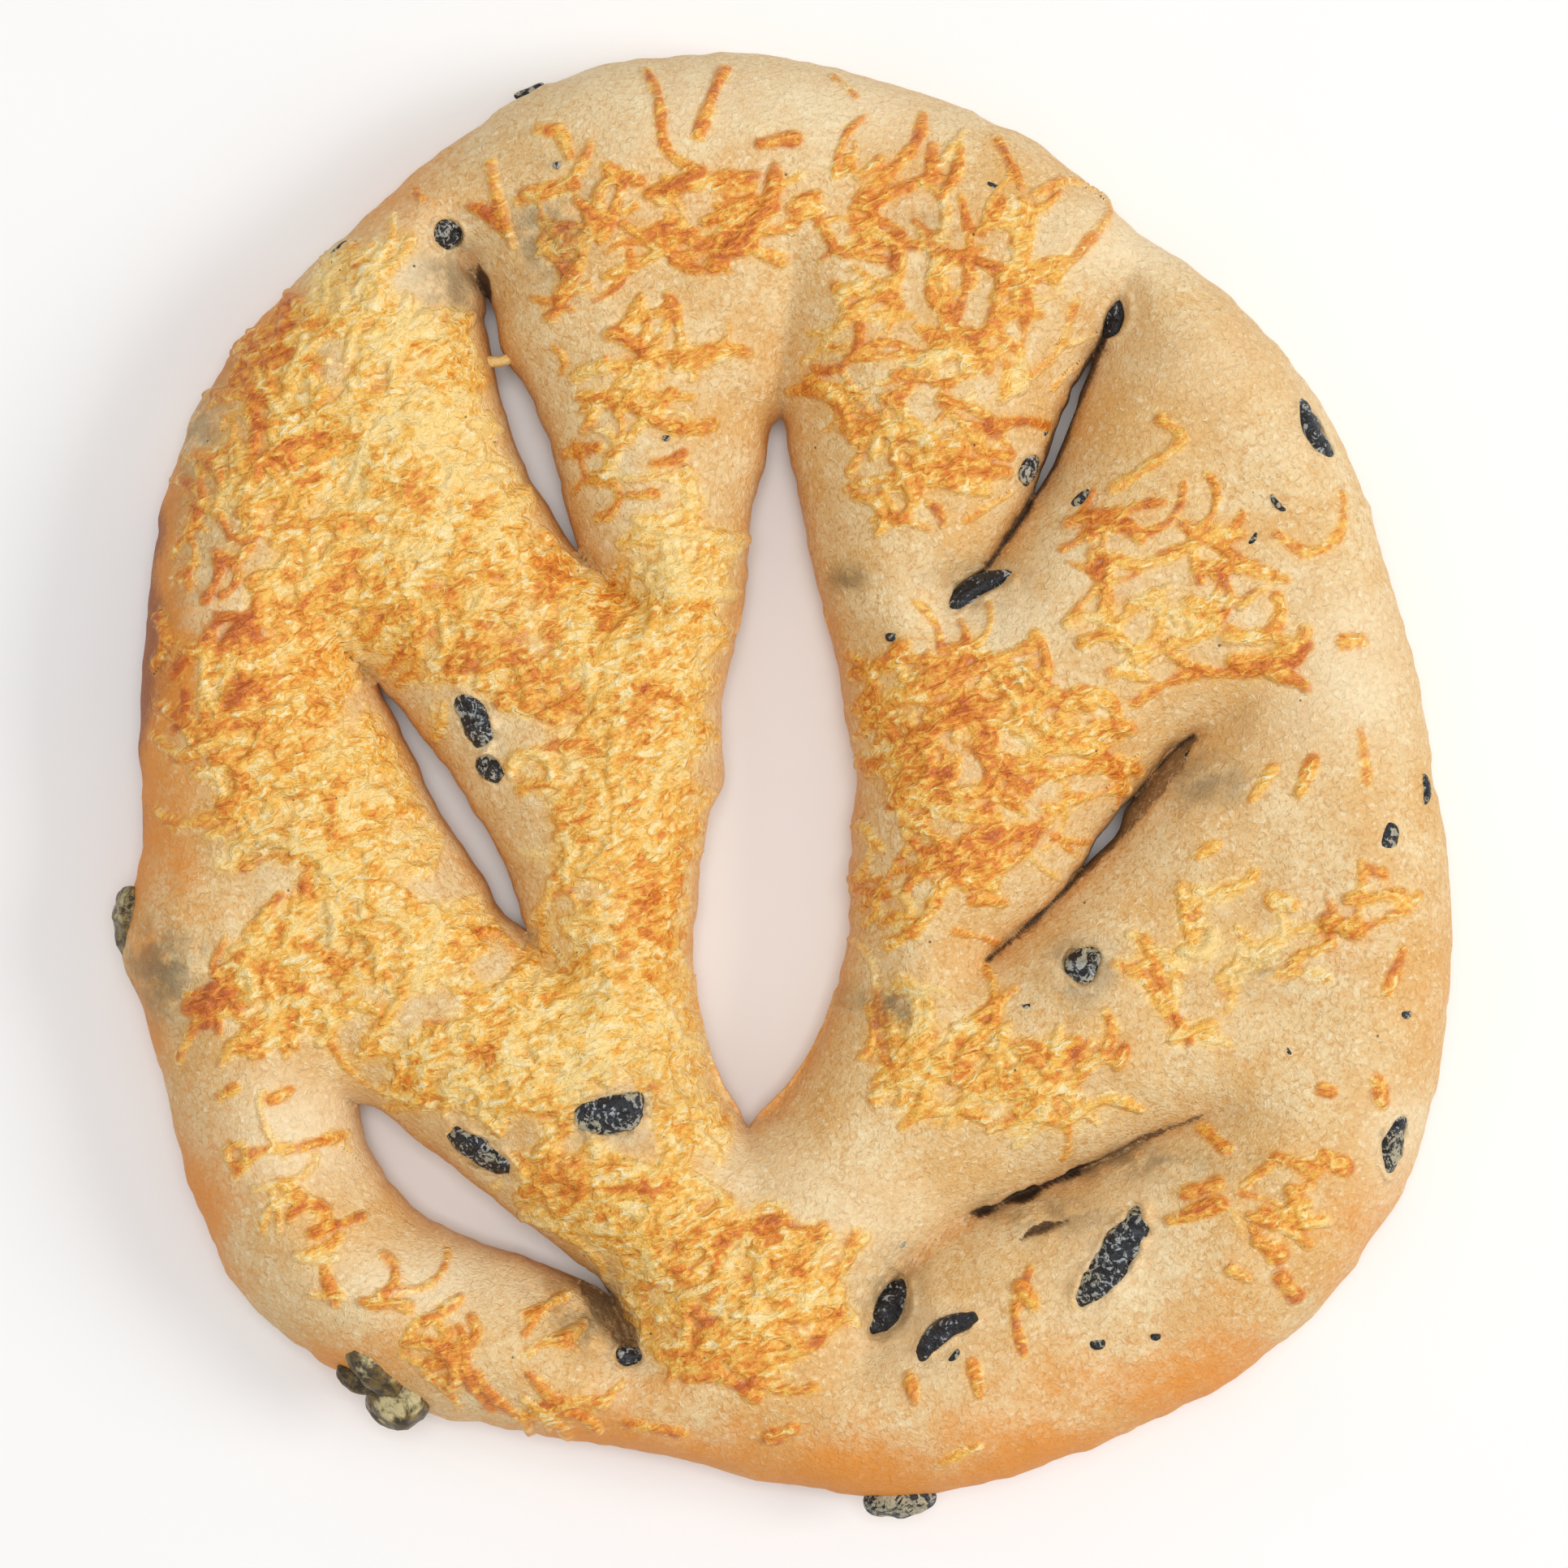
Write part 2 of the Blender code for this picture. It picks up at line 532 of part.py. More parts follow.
def boolean(target, others, operation):
    """Applies one Boolean of a collection to the target and removes the collection."""
    group = bpy.data.collections.new("operands")
    bpy.context.scene.collection.children.link(group)
    for other in others:
        bpy.context.scene.collection.objects.unlink(other)
        group.objects.link(other)
    modifier = target.modifiers.new("join", "BOOLEAN")
    modifier.operation = operation
    modifier.operand_type = "COLLECTION"
    modifier.collection = group
    modifier.solver = "EXACT"
    modifier.use_self = True
    graph = bpy.context.evaluated_depsgraph_get()
    joined = bpy.data.meshes.new_from_object(target.evaluated_get(graph))
    target.modifiers.clear()
    target.data = joined
    for other in others:
        bpy.data.objects.remove(other)
    bpy.data.collections.remove(group)
    keep_outer_shell(target)


def keep_outer_shell(target):
    """Drops loose scraps, and the inner shells of sealed hollows, which fills them."""
    work = bmesh.new()
    work.from_mesh(target.data)
    bmesh.ops.triangulate(work, faces=work.faces[:])
    seen, shells = set(), []
    for first in work.verts:
        if first in seen:
            continue
        seen.add(first)
        shell, queue = [], [first]
        while queue:
            vert = queue.pop()
            shell.append(vert)
            for edge in vert.link_edges:
                other = edge.other_vert(vert)
                if other not in seen:
                    seen.add(other)
                    queue.append(other)
        shells.append(shell)
    shells.sort(key=len)
    loose = [vert for shell in shells[:-1] for vert in shell]
    bmesh.ops.delete(work, geom=loose, context="VERTS")
    work.to_mesh(target.data)
    work.free()


def merge_flat_faces(target):
    """Joins the small faces of a Boolean that lie in almost one plane."""
    work = bmesh.new()
    work.from_mesh(target.data)
    bmesh.ops.dissolve_limit(work, angle_limit=FLAT_ANGLE, verts=work.verts[:],
                             edges=work.edges[:])
    bmesh.ops.triangulate(work, faces=work.faces[:])
    work.to_mesh(target.data)
    work.free()


def build_olives(black, green):
    """Makes the olive pieces and returns the slightly larger bodies of their pockets."""
    pieces = {name: top_piece(row) for name, row in TOP_OLIVES.items()}
    pieces |= {name: side_piece(row, SIDE_OLIVE_UPWARD, 0.0) for name, row in SIDE_OLIVES.items()}
    for name, piece in pieces.items():
        make_lobe(name, piece, 0.0, green if name.startswith("green") else black)
    lobes = [side_piece(row, CURL_UPWARD, CURL_BEND) for row in CURL_LOBES]
    curl = [make_lobe("green_olive_curl", lobe, 0.0, green) for lobe in lobes]
    boolean(curl[0], curl[1:], "UNION")
    return [make_lobe("pocket", piece, OLIVE_GAP) for piece in [*pieces.values(), *lobes]]


def make_shred(width, path, normals):
    """One shred: a flattened cord of a few sides that lies along a path in space."""
    tangents = np.gradient(path, axis=0)
    tangents /= np.linalg.norm(tangents, axis=1)[:, None]
    across = np.cross(normals, tangents)
    across /= np.linalg.norm(across, axis=1)[:, None]
    up = np.cross(tangents, across)
    size = np.ones(len(path))
    size[[0, -1]] = SHRED_END_TAPER
    points = [path[0] - tangents[0] * width * SHRED_TIP]
    for i in range(len(path)):
        for k in range(SHRED_SIDES):
            angle = 2 * math.pi * (k + SHRED_ROLL) / SHRED_SIDES
            points.append(path[i] + size[i] * (across[i] * math.cos(angle) * width / 2
                                               + up[i] * math.sin(angle) * SHRED_HEIGHT / 2))
    points.append(path[-1] + tangents[-1] * width * SHRED_TIP)
    return make_object("shred", points, ringed_faces(len(path), SHRED_SIDES))


def heaped_shreds():
    """Shreds drawn at random in the heaps, longest first."""
    draw = random.Random(HEAP_SEED)
    found = []
    for x, y, reach_x, reach_y, count in HEAPS:
        for _ in range(count):
            turn, away = draw.uniform(0, 2 * math.pi), math.sqrt(draw.random())
            middle = np.array([x + reach_x * away * math.cos(turn),
                               y + reach_y * away * math.sin(turn)])
            heading = draw.uniform(0, math.pi)
            half = draw.uniform(*HEAPED_LENGTH) / 2
            along = np.array([math.cos(heading), math.sin(heading)])
            bow = np.array([-along[1], along[0]]) * draw.uniform(-1, 1) * HEAPED_BOW * half
            found.append((draw.uniform(*HEAPED_WIDTH), tuple(middle - along * half),
                          tuple(middle + bow), tuple(middle + along * half)))
    return sorted(found, key=lambda row: -math.dist(row[1], row[-1]))


def build_shreds():
    """All shreds that keep clear of the olives and of the edges of the dough."""
    loops = plan_loops()
    olives = [(np.array(row[:2]), row[2] / 2) for row in TOP_OLIVES.values()]
    olives += [(np.array(row[:2]), row[3] / 2) for row in SIDE_OLIVES.values()]
    olives += [(np.array(row[:2]), row[3] / 2) for row in CURL_LOBES]
    made = []
    groups = ((LAID_EDGE_CLEARANCE, LAID_SHREDS), (HEAPED_EDGE_CLEARANCE, heaped_shreds()))
    for least, rows in groups:
        for width, *stations in rows:
            line = catmull_rom([(*point, 0) for point in stations], SHRED_STEP)
            plan = line[:, :2]
            gaps = [np.min(np.linalg.norm(plan - centre, axis=1)) - reach
                    for centre, reach in olives]
            clear = min(gaps) > width / 2 + OLIVE_CLEARANCE
            on_dough = inside(plan, loops).all() and loop_distance(plan, loops).min() > least
            if clear and on_dough:
                normals = surface_normal(plan)
                path = np.column_stack([plan, top_height(plan)]) + normals * SHRED_LIFT
                made.append(make_shred(width, path, normals))
    upright = np.array([(0.0, 0.0, 1.0)] * len(STRING))
    made.append(make_shred(STRING_WIDTH, np.array(STRING), upright))
    return made


def paint(name, colour, roughness):
    material = bpy.data.materials.new(name)
    material.use_nodes = True
    shader = material.node_tree.nodes["Principled BSDF"]
    shader.inputs["Base Color"].default_value = (*colour, 1)
    shader.inputs["Roughness"].default_value = roughness
    shader.inputs["Metallic"].default_value = 0
    return material


def main():
    for old in list(bpy.data.objects):
        bpy.data.objects.remove(old)
    dough = paint("baked_dough", DOUGH_COLOUR, 0.75)
    black = paint("black_olive", BLACK_OLIVE_COLOUR, 0.45)
    green = paint("green_olive", GREEN_OLIVE_COLOUR, 0.45)
    crust = build_dough(dough)
    boolean(crust, build_shreds(), "UNION")
    boolean(crust, build_olives(black, green), "DIFFERENCE")
    merge_flat_faces(crust)


main()
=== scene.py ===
"""Looks of the cheese and olive fougasse: crust, melted cheese, olives, light and camera.

The crust repeats the plan and the heights of the solid at a finer step and adds relief.
Lengths are in millimetres until a mesh is made.
"""

import math
import random

import bpy
import numpy as np
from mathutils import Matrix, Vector
from mathutils.geometry import delaunay_2d_cdt


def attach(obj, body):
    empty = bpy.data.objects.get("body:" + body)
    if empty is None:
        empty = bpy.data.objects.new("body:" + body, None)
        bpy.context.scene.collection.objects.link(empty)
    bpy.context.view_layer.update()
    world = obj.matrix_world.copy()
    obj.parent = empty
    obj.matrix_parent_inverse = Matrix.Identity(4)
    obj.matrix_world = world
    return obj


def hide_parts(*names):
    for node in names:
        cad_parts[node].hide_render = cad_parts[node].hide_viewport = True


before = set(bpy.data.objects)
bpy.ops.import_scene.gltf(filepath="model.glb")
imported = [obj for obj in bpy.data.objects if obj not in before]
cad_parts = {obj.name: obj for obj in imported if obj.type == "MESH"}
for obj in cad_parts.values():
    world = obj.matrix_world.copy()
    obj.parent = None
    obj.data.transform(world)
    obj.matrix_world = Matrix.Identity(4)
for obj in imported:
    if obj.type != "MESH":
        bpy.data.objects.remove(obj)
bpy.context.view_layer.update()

MM = 0.001

# Heights and roundings of the dough.
CREST_HEIGHT = 25.0      # of a wide roll, at its middle
EDGE_HEIGHT = 8.5        # where the side bulges furthest out
SHOULDER_RUN = 17.0      # from the edge to the level crest
SHOULDER_POWER = 2.15
FOOT_RUN = 4.5           # from the edge to the flat of the base
BASE_HEALING = 15.0      # how much more a closed slash has healed in the base
ROLL_BLEND = 2.2         # rounding where two rolls meet
SWELL = 1.1              # height of the dough's slow hills

# Steps and reaches of the meshes.
CURVE_STEP = 1.0         # of the lines from which distances are taken
LOOP_STEP = 0.9          # of the outer edge
SLASH_STEP = 0.65        # of the edges of the slashes
RAGGEDNESS = 0.30        # how far the edges wander
TOP_RINGS = (0.06, 0.25, 0.6, 1.1, 1.75)        # distances inside the edges
BASE_RINGS = (0.1, 0.5, 1.2, 2.2, 3.4, 4.8)
TOP_STEP = 0.92
BASE_STEP = 3.0
TEAR_STEP = 0.3          # around the tears and the olives
TEAR_REACH = 1.8
TEAR_LINE_STEP = 0.4
TEAR_WINDOW = 16.0       # no tear reaches further than this from its middle
LEAST_OPEN = 0.12        # half width from which a slash is cut through
LEAST_TORN = -1.2        # healing from which a slash no longer shows torn dough
GRID_STEP = 0.34         # of the plan grid that carries the cheese
GRID_REACH = (99.0, 108.0)
FACES_A_PIECE = 96000

# The outer outline, clockwise from the top.
OUTLINE = [
    (-12, 105), (4, 104), (21, 98.8), (34, 93.6), (46, 84.6), (51, 79.6), (63.5, 70.8),
    (74, 59), (81.3, 47.4), (86.3, 33.3), (90.2, 19), (93, 5), (95.2, -9), (96.2, -24),
    (94.2, -41.5), (90.3, -55.6), (82, -69.6), (73, -79), (60, -88.3), (45, -95.2),
    (29, -100.8), (12, -102.4), (-4, -100), (-20, -96.4), (-40, -92.8), (-54, -89.5),
    (-66.5, -83), (-77.6, -73.8), (-84.6, -60.5), (-88.4, -46), (-91.6, -35.4),
    (-95.2, -25), (-94.4, -17.5), (-92.4, -8), (-92.8, 5), (-91.6, 24), (-89, 41.5),
    (-82.9, 56.7), (-72, 70.6), (-56.6, 84.8), (-40, 97.6), (-27, 103.2),
]

# Slashes in the dough: x, y and half width along each. Below zero the slash is closed,
# and the number says how far its crease has healed.
SLASHES = {
    "centre": [
        (1.4, 82, -15), (1.2, 74, -7), (0.8, 66, -3.2), (0.2, 58, -1.4), (-0.4, 54, -0.6),
        (-0.8, 51.6, 0.9), (-0.9, 47.4, 1.7), (-1.0, 38, 3.9), (-0.3, 28.7, 4.9),
        (0.0, 19.3, 7.3), (-0.2, 10, 8.8), (0.8, 1, 9.4), (-0.9, -9, 10.5),
        (-2.1, -23, 11.1), (-3.2, -32.5, 9.2), (-4.2, -41.5, 5.8), (-4.8, -46.4, 2.1),
        (-5, -49.2, 0.2), (-4.6, -52, -2.4), (-4, -58, -8), (-3.6, -64, -15),
    ],
    "upper_left": [
        (-51, 84, -15), (-48, 79.4, -5), (-45.6, 75.2, -0.8), (-44, 71.8, -0.2),
        (-42.9, 69.4, 0.4), (-42.2, 66.2, 0.9), (-41.5, 62.8, 0.7), (-40.2, 59.4, 1.2),
        (-38.8, 56.4, 1.9), (-37.4, 52, 2.3), (-35.8, 47.4, 2.2), (-33.9, 42.7, 1.6),
        (-31.7, 38, 1.0), (-29.8, 33.8, 0.2), (-26.6, 30.2, -0.6), (-21.5, 26.4, -3),
        (-15, 22, -14),
    ],
    "left": [
        (-68, 24, -15), (-63.4, 19.6, -3), (-61, 17.2, -0.6), (-58.4, 14.2, 0.2),
        (-55.4, 10, 0.8), (-52.6, 5.3, 1.4), (-49.6, 0.6, 2.0), (-47.1, -4.1, 2.1),
        (-44.2, -8.8, 2.1), (-41.6, -13.5, 1.8), (-39.2, -18, 1.2), (-37.4, -20.6, 0.3),
        (-34.8, -23.6, -0.8), (-31, -26.8, -3.4), (-25, -31, -14),
    ],
    "lower_left": [
        (-67, -41, -15), (-63.4, -44.4, -2.6), (-61, -46.4, 0.3), (-59.2, -48.6, 1.9),
        (-56.9, -52, 3.1), (-51.2, -57.7, 4.1), (-43, -62.8, 3.3), (-36, -66.6, 2.0),
        (-29.6, -70.2, 0.9), (-26, -73, 0.3), (-23.6, -76.5, -0.4), (-21.8, -80, -1.8),
        (-19.6, -86, -12),
    ],
    "upper_right": [
        (52, 84, -11), (50.2, 76, -7), (48.6, 71, -3.2), (47, 66.6, -0.8),
        (45.4, 63, -0.2), (44, 60.2, 0.3), (41.6, 55, 0.7), (39.6, 50, 0.75),
        (37.9, 45.5, 0.5), (36.3, 42, 0.15), (34.5, 38.8, -0.2), (31.5, 34.5, -0.35),
        (28.5, 30.5, -1.0), (24, 26.5, -3), (18, 21.5, -14),
    ],
    "right": [
        (71, 14, -15), (64.6, 10.4, -5), (59.5, 7.4, -1.5), (56.6, 5.3, -0.35),
        (53, 1.5, -0.2), (49.6, -3, 0.25), (47.6, -6.3, 0.8), (45.4, -9.3, 0.7),
        (43.4, -11.8, 0.15), (39.5, -16, -0.25), (33.5, -21.5, -0.5), (28, -26, -1.8),
        (21, -31, -14),
    ],
    "lower_right": [
        (69, -44, -15), (63.6, -46.2, -4.5), (57, -48.3, -1.6), (50.8, -50.9, -0.7),
        (42.6, -55.4, -0.35), (35, -58.6, -0.3), (27.4, -61.8, -0.3), (21.5, -65.6, -0.4),
        (16.8, -70.2, -0.6), (13.8, -75.6, -1.4), (11, -81.6, -6), (8.6, -87, -15),
    ],
}

# Ragged tears in the crust: depth, darkness of the torn dough and the painted shade in them,
# then x, y and half width along each.
TEARS = [
    (2.6, 1.0, (26.6, -61.6, 0.1), (28.8, -61.3, 0.45), (31.6, -59.9, 0.3), (34.6, -58.9, 0.75),
     (37.8, -57.5, 0.25), (41.3, -55.8, 0.5), (44.4, -54.0, 0.1)),
    (0.5, 0.5, (43.6, -54.6, 0.2), (47.4, -52.8, 0.35), (50.8, -50.9, 0.3),
     (54.6, -49.4, 0.3), (60.0, -47.0, 0.1)),
    (1.8, 0.8, (33.6, -64.7, 0.1), (36.2, -63.2, 0.6), (40.2, -62.0, 0.1)),
    (0.9, 0.42, (46.4, -9.4, 0.4), (50.2, -4.4, 1.0), (53.2, -0.4, 1.2), (56.0, 3.0, 1.1),
     (58.6, 6.4, 0.4)),
    (1.8, 0.9, (-43.6, 74.0, 0.2), (-43.0, 71.6, 0.8), (-42.4, 69.6, 0.4)),
    (2.4, 0.34, (-30.5, -69.8, 0.3), (-27.0, -73.0, 1.5), (-23.8, -76.8, 2.1),
     (-21.9, -80.0, 1.0)),
]
# How wide the torn dough, with painted shade along the crack at its middle, shows along the two
# slashes that are torn open.
TORN_AND_SHADE_WIDTHS = {"upper_right": 0.7, "right": 0.6}

# Olive pieces set in the top: x, y, length, width, thickness, heading in degrees, how
# far the middle lies under the crust, how far the piece is bent, and how far it is
# veiled by baked dough and cheese.
TOP_OLIVES = {
    "black_olive_long": (46.2, -66.9, 17.0, 5.6, 4.6, 56, 0.7, 0.04, 0.45),
    "black_olive_groove": (14.9, -74.4, 11.0, 5.6, 5.0, 68, 0.5, 0.06, 0.15),
    "black_olive_sliver": (22.6, -77.6, 10.4, 3.2, 3.2, 36, 0.5, -0.10, 0.0),
    "black_olive_heel": (-24.3, -46.4, 10.4, 6.2, 4.4, 14, 0.9, 0.04, 0.55),
    "black_olive_bank": (-43.0, -52.2, 12.2, 4.8, 4.2, -30, 0.9, 0.08, 0.45),
    "black_olive_left": (-44.0, 8.8, 9.0, 4.7, 4.2, -68, 0.9, -0.06, 0.4),
    "black_olive_left_chip": (-41.8, 2.2, 4.8, 3.6, 3.0, -30, 0.6, 0.0, 0.6),
    "black_olive_fork": (27.6, 27.4, 11.6, 3.8, 3.8, 30, 0.2, -0.18, 0.1),
    "black_olive_slit_top": (47.4, 66.6, 6.4, 3.4, 3.6, 72, 0.3, 0.0, 0.0),
    "black_olive_slit_side": (34.8, 44.6, 4.8, 3.2, 3.4, 62, 0.6, 0.0, 0.4),
    "black_olive_rim_upper": (75.4, 50.5, 10.2, 3.4, 3.2, -64, 0.6, 0.12, 0.3),
    "black_olive_rim_lower": (86.5, -51.3, 9.4, 3.8, 3.6, 78, 0.7, -0.08, 0.6),
    "black_olive_veiled": (42.2, -25.4, 6.2, 5.6, 3.8, 58, 0.9, 0.0, 0.7),
    "black_olive_shoulder": (-47.8, 77.9, 4.8, 4.6, 3.4, 20, 0.5, 0.0, 0.45),
    "black_olive_notch": (-22.2, -81.2, 4.2, 3.6, 3.6, 25, 0.5, 0.0, 0.3),
}
# Pieces that stand out of the side: x, y, z, length, width, thickness, heading, and veil.
SIDE_OLIVES = {
    "black_olive_foot": (16.4, -102.7, 11.5, 10.4, 5.6, 5.6, 4, 0.9),
    "green_olive_side": (-93.4, -20.5, 12.5, 12.0, 6.4, 5.6, 84, 0.6),
}
# A folded piece of green olive is three lobes grown together, in rows like the last.
CURL_LOBES = [
    (-58.8, -82.2, 19.4, 12.0, 5.0, 4.8, -54),
    (-55.2, -87.8, 15.8, 9.4, 8.2, 6.2, 40),
    (-61.0, -85.0, 16.4, 6.8, 3.4, 3.4, -28),
]
CHIP_VEIL, CHIP_BEND = 0.7, 0.1
CHIP_RINGS, CHIP_SIDES = 12, 14
OLIVE_GAP = 0.2          # width of the gap around an olive piece
OLIVE_RINGS = 34
OLIVE_SIDES = 30
OLIVE_FULLNESS = 0.8
OLIVE_CREASE = 0.16

# Shreds that lie apart or stand out: width, then the points that they pass.
LAID_SHREDS = [
    (2.6, (-19.6, 101.6), (-17.7, 96.7), (-16.6, 89.4), (-11.2, 85.4)),
    (3.0, (-8.5, 101.6), (-10.6, 96), (-12.0, 91.4)),
    (2.2, (6.9, 101.0), (10.2, 97.6)),
    (3.0, (19.8, 95.2), (18.2, 90.2), (9.8, 81.3)),
    (2.8, (30.4, 91.8), (33.6, 84.6)),
    (2.6, (35.4, 83.6), (41, 86), (46.6, 82.6), (42.6, 76.2), (37.9, 71.4)),
    (3.0, (-41.6, 87.7), (-40.5, 82.5), (-38.4, 76.4)),
    (3.4, (-36.4, 83), (-29.4, 84.2)),
    (2.8, (69.5, 35.1), (74.2, 32.7), (78.8, 35.7), (79.4, 40.9)),
    (2.2, (25, 83), (26.2, 76.6), (25.6, 69.6), (23.3, 63.7)),
    (2.2, (41.4, 68.6), (38.4, 61), (30.9, 54.4)),
    (2.8, (53.1, 51.5), (56, 48.6), (51, 44.5), (46.4, 41.8)),
    (3.0, (43.6, 32.6), (50.8, 31), (58.9, 34.6)),
    (2.6, (49.6, 11.4), (56.6, 15.2), (69.5, 16.2), (74.2, 19.6)),
    (3.0, (34.4, 19.3), (28.7, 17), (21.5, 13.5), (14.6, 12.3)),
    (3.5, (18, 6.4), (25, 9.9), (30.7, 11.1)),
    (2.6, (26.2, -8.8), (36.4, -6.4)),
    (2.4, (50.8, -22.1), (54.3, -31), (57.2, -36.3)),
    (2.4, (34.8, -68.6), (32.6, -74.3), (33.8, -80.4)),
    (3.6, (61.3, -59), (54.3, -61.6)),
    (3.2, (69.5, -52.6), (75.2, -54.4)),
    (3.0, (-86, -39), (-82.5, -33.3), (-78.5, -32)),
    (2.6, (-77.8, -55.5), (-74.3, -51.9), (-68, -51.5)),
    (3.4, (-71, -56.3), (-64.9, -60.3)),
    (3.0, (-64.8, -68.4), (-63.4, -73.4)),
    (2.6, (-81.8, 54.2), (-74.4, 56.1)),
    (2.6, (-83.2, 45), (-82.6, 38.8), (-86.8, 32.5)),
    (3.0, (-88.6, 24), (-86.4, 19.3), (-80.4, 19.3)),
    (3.0, (-89.6, 7), (-84.9, 4), (-78, 7.6)),
    (2.8, (-89.6, -3.5), (-86, -5.6), (-78, -4.1)),
    (3.0, (-10.6, -82.4), (-4, -86.6)),
    (3.4, (-22, -90.6), (-14.8, -92.0)),
    (3.0, (85.0, -29.4), (87.4, -23.6)),
    (2.6, (81.4, 7.4), (82.4, 0.4)),
    (2.6, (-45, -78), (-44.6, -84), (-41.4, -89)),
    (2.6, (-36, -83.2), (-30.6, -89)),
    (3.4, (-1.2, 86.7), (-2.4, 81.5), (-10, 73)),
]
# Thinner and shorter bits, seen lying alone.
LOOSE_BITS = [
    (2.2, (-31.6, 91.9), (-30.2, 88.4)), (2.6, (-35, 92.6), (-32, 92.4)),
    (2.2, (-24.8, 86.6), (-20.4, 84.8)), (2.6, (-3.4, 90.2), (1.4, 91)),
    (2.0, (11.4, 93.4), (12, 92.4)), (1.8, (9, 88.4), (9.4, 86.6)),
    (2.0, (-52.6, 84.6), (-51.4, 83)), (2.0, (62.6, 34.6), (64.6, 38)),
    (2.8, (57.4, 25.4), (61, 23.6)), (2.0, (63.4, 30.6), (66.4, 31)),
    (3.0, (79, 20), (82, 20.4)), (2.4, (82.4, -12), (84.6, -12.6)),
    (3.2, (69, -16.4), (71.6, -17)), (3.4, (76.6, -19.4), (80.4, -20.4)),
    (2.6, (74.6, -23.6), (77, -22.6)), (2.0, (71.4, -25.4), (73, -24)),
    (3.0, (83.6, -41.6), (84.6, -45)), (2.2, (75.8, -43), (77.2, -43.4)),
    (3.0, (66.6, -64.2), (69.8, -66.2)), (2.2, (62.8, -68.4), (65.2, -69.6)),
    (3.0, (70, -69.6), (72.6, -72.6)), (2.4, (71.2, -57.2), (73.2, -62)),
    (3.2, (76, -52.4), (79, -54)), (2.6, (56.6, -57.6), (61, -56.2)),
    (2.2, (26.6, -81.8), (27.4, -86)), (2.0, (17.6, -83.4), (18.4, -87)),
    (2.6, (33.4, -71), (35, -73.4)), (3.0, (-2.2, -92.6), (1.2, -91)),
    (2.6, (-6.4, -79.8), (-2, -81.2)), (2.2, (22, -96.2), (27.4, -93.6)),
    (2.4, (59, -48.6), (62.4, -51.6)), (2.4, (72.6, -1.2), (74.6, 3.4)),
    (2.0, (66, -2.2), (69, 2.2)), (2.0, (58.4, -10.2), (61, -8.6)),
    (2.0, (40.6, -42.2), (42.8, -40)), (2.4, (37.8, -38.4), (41.2, -36)),
    (2.0, (46.8, -39.8), (48, -37)), (2.6, (-78.4, 62.4), (-74, 64.6)),
    (2.4, (-70.6, 69.4), (-66.8, 66.8)), (2.2, (-61.4, 76.4), (-60, 71.8)),
    (2.0, (-72.4, -44.6), (-69.6, -43.2)), (2.2, (-80, -44.4), (-77.4, -42.8)),
]
# A string of cheese spans the upper left slash: x, y and z of the points it passes.
STRING = [(-46.4, 61.2, 14.4), (-43.4, 60.8, 12.6), (-41.2, 60.6, 12.0),
          (-38.8, 61.2, 12.6), (-36.2, 61.8, 14.6)]
STRING_WIDTH = 1.6
STRING_STEP = 0.5
STRING_SIDES = 10
STRING_TIP = 0.3

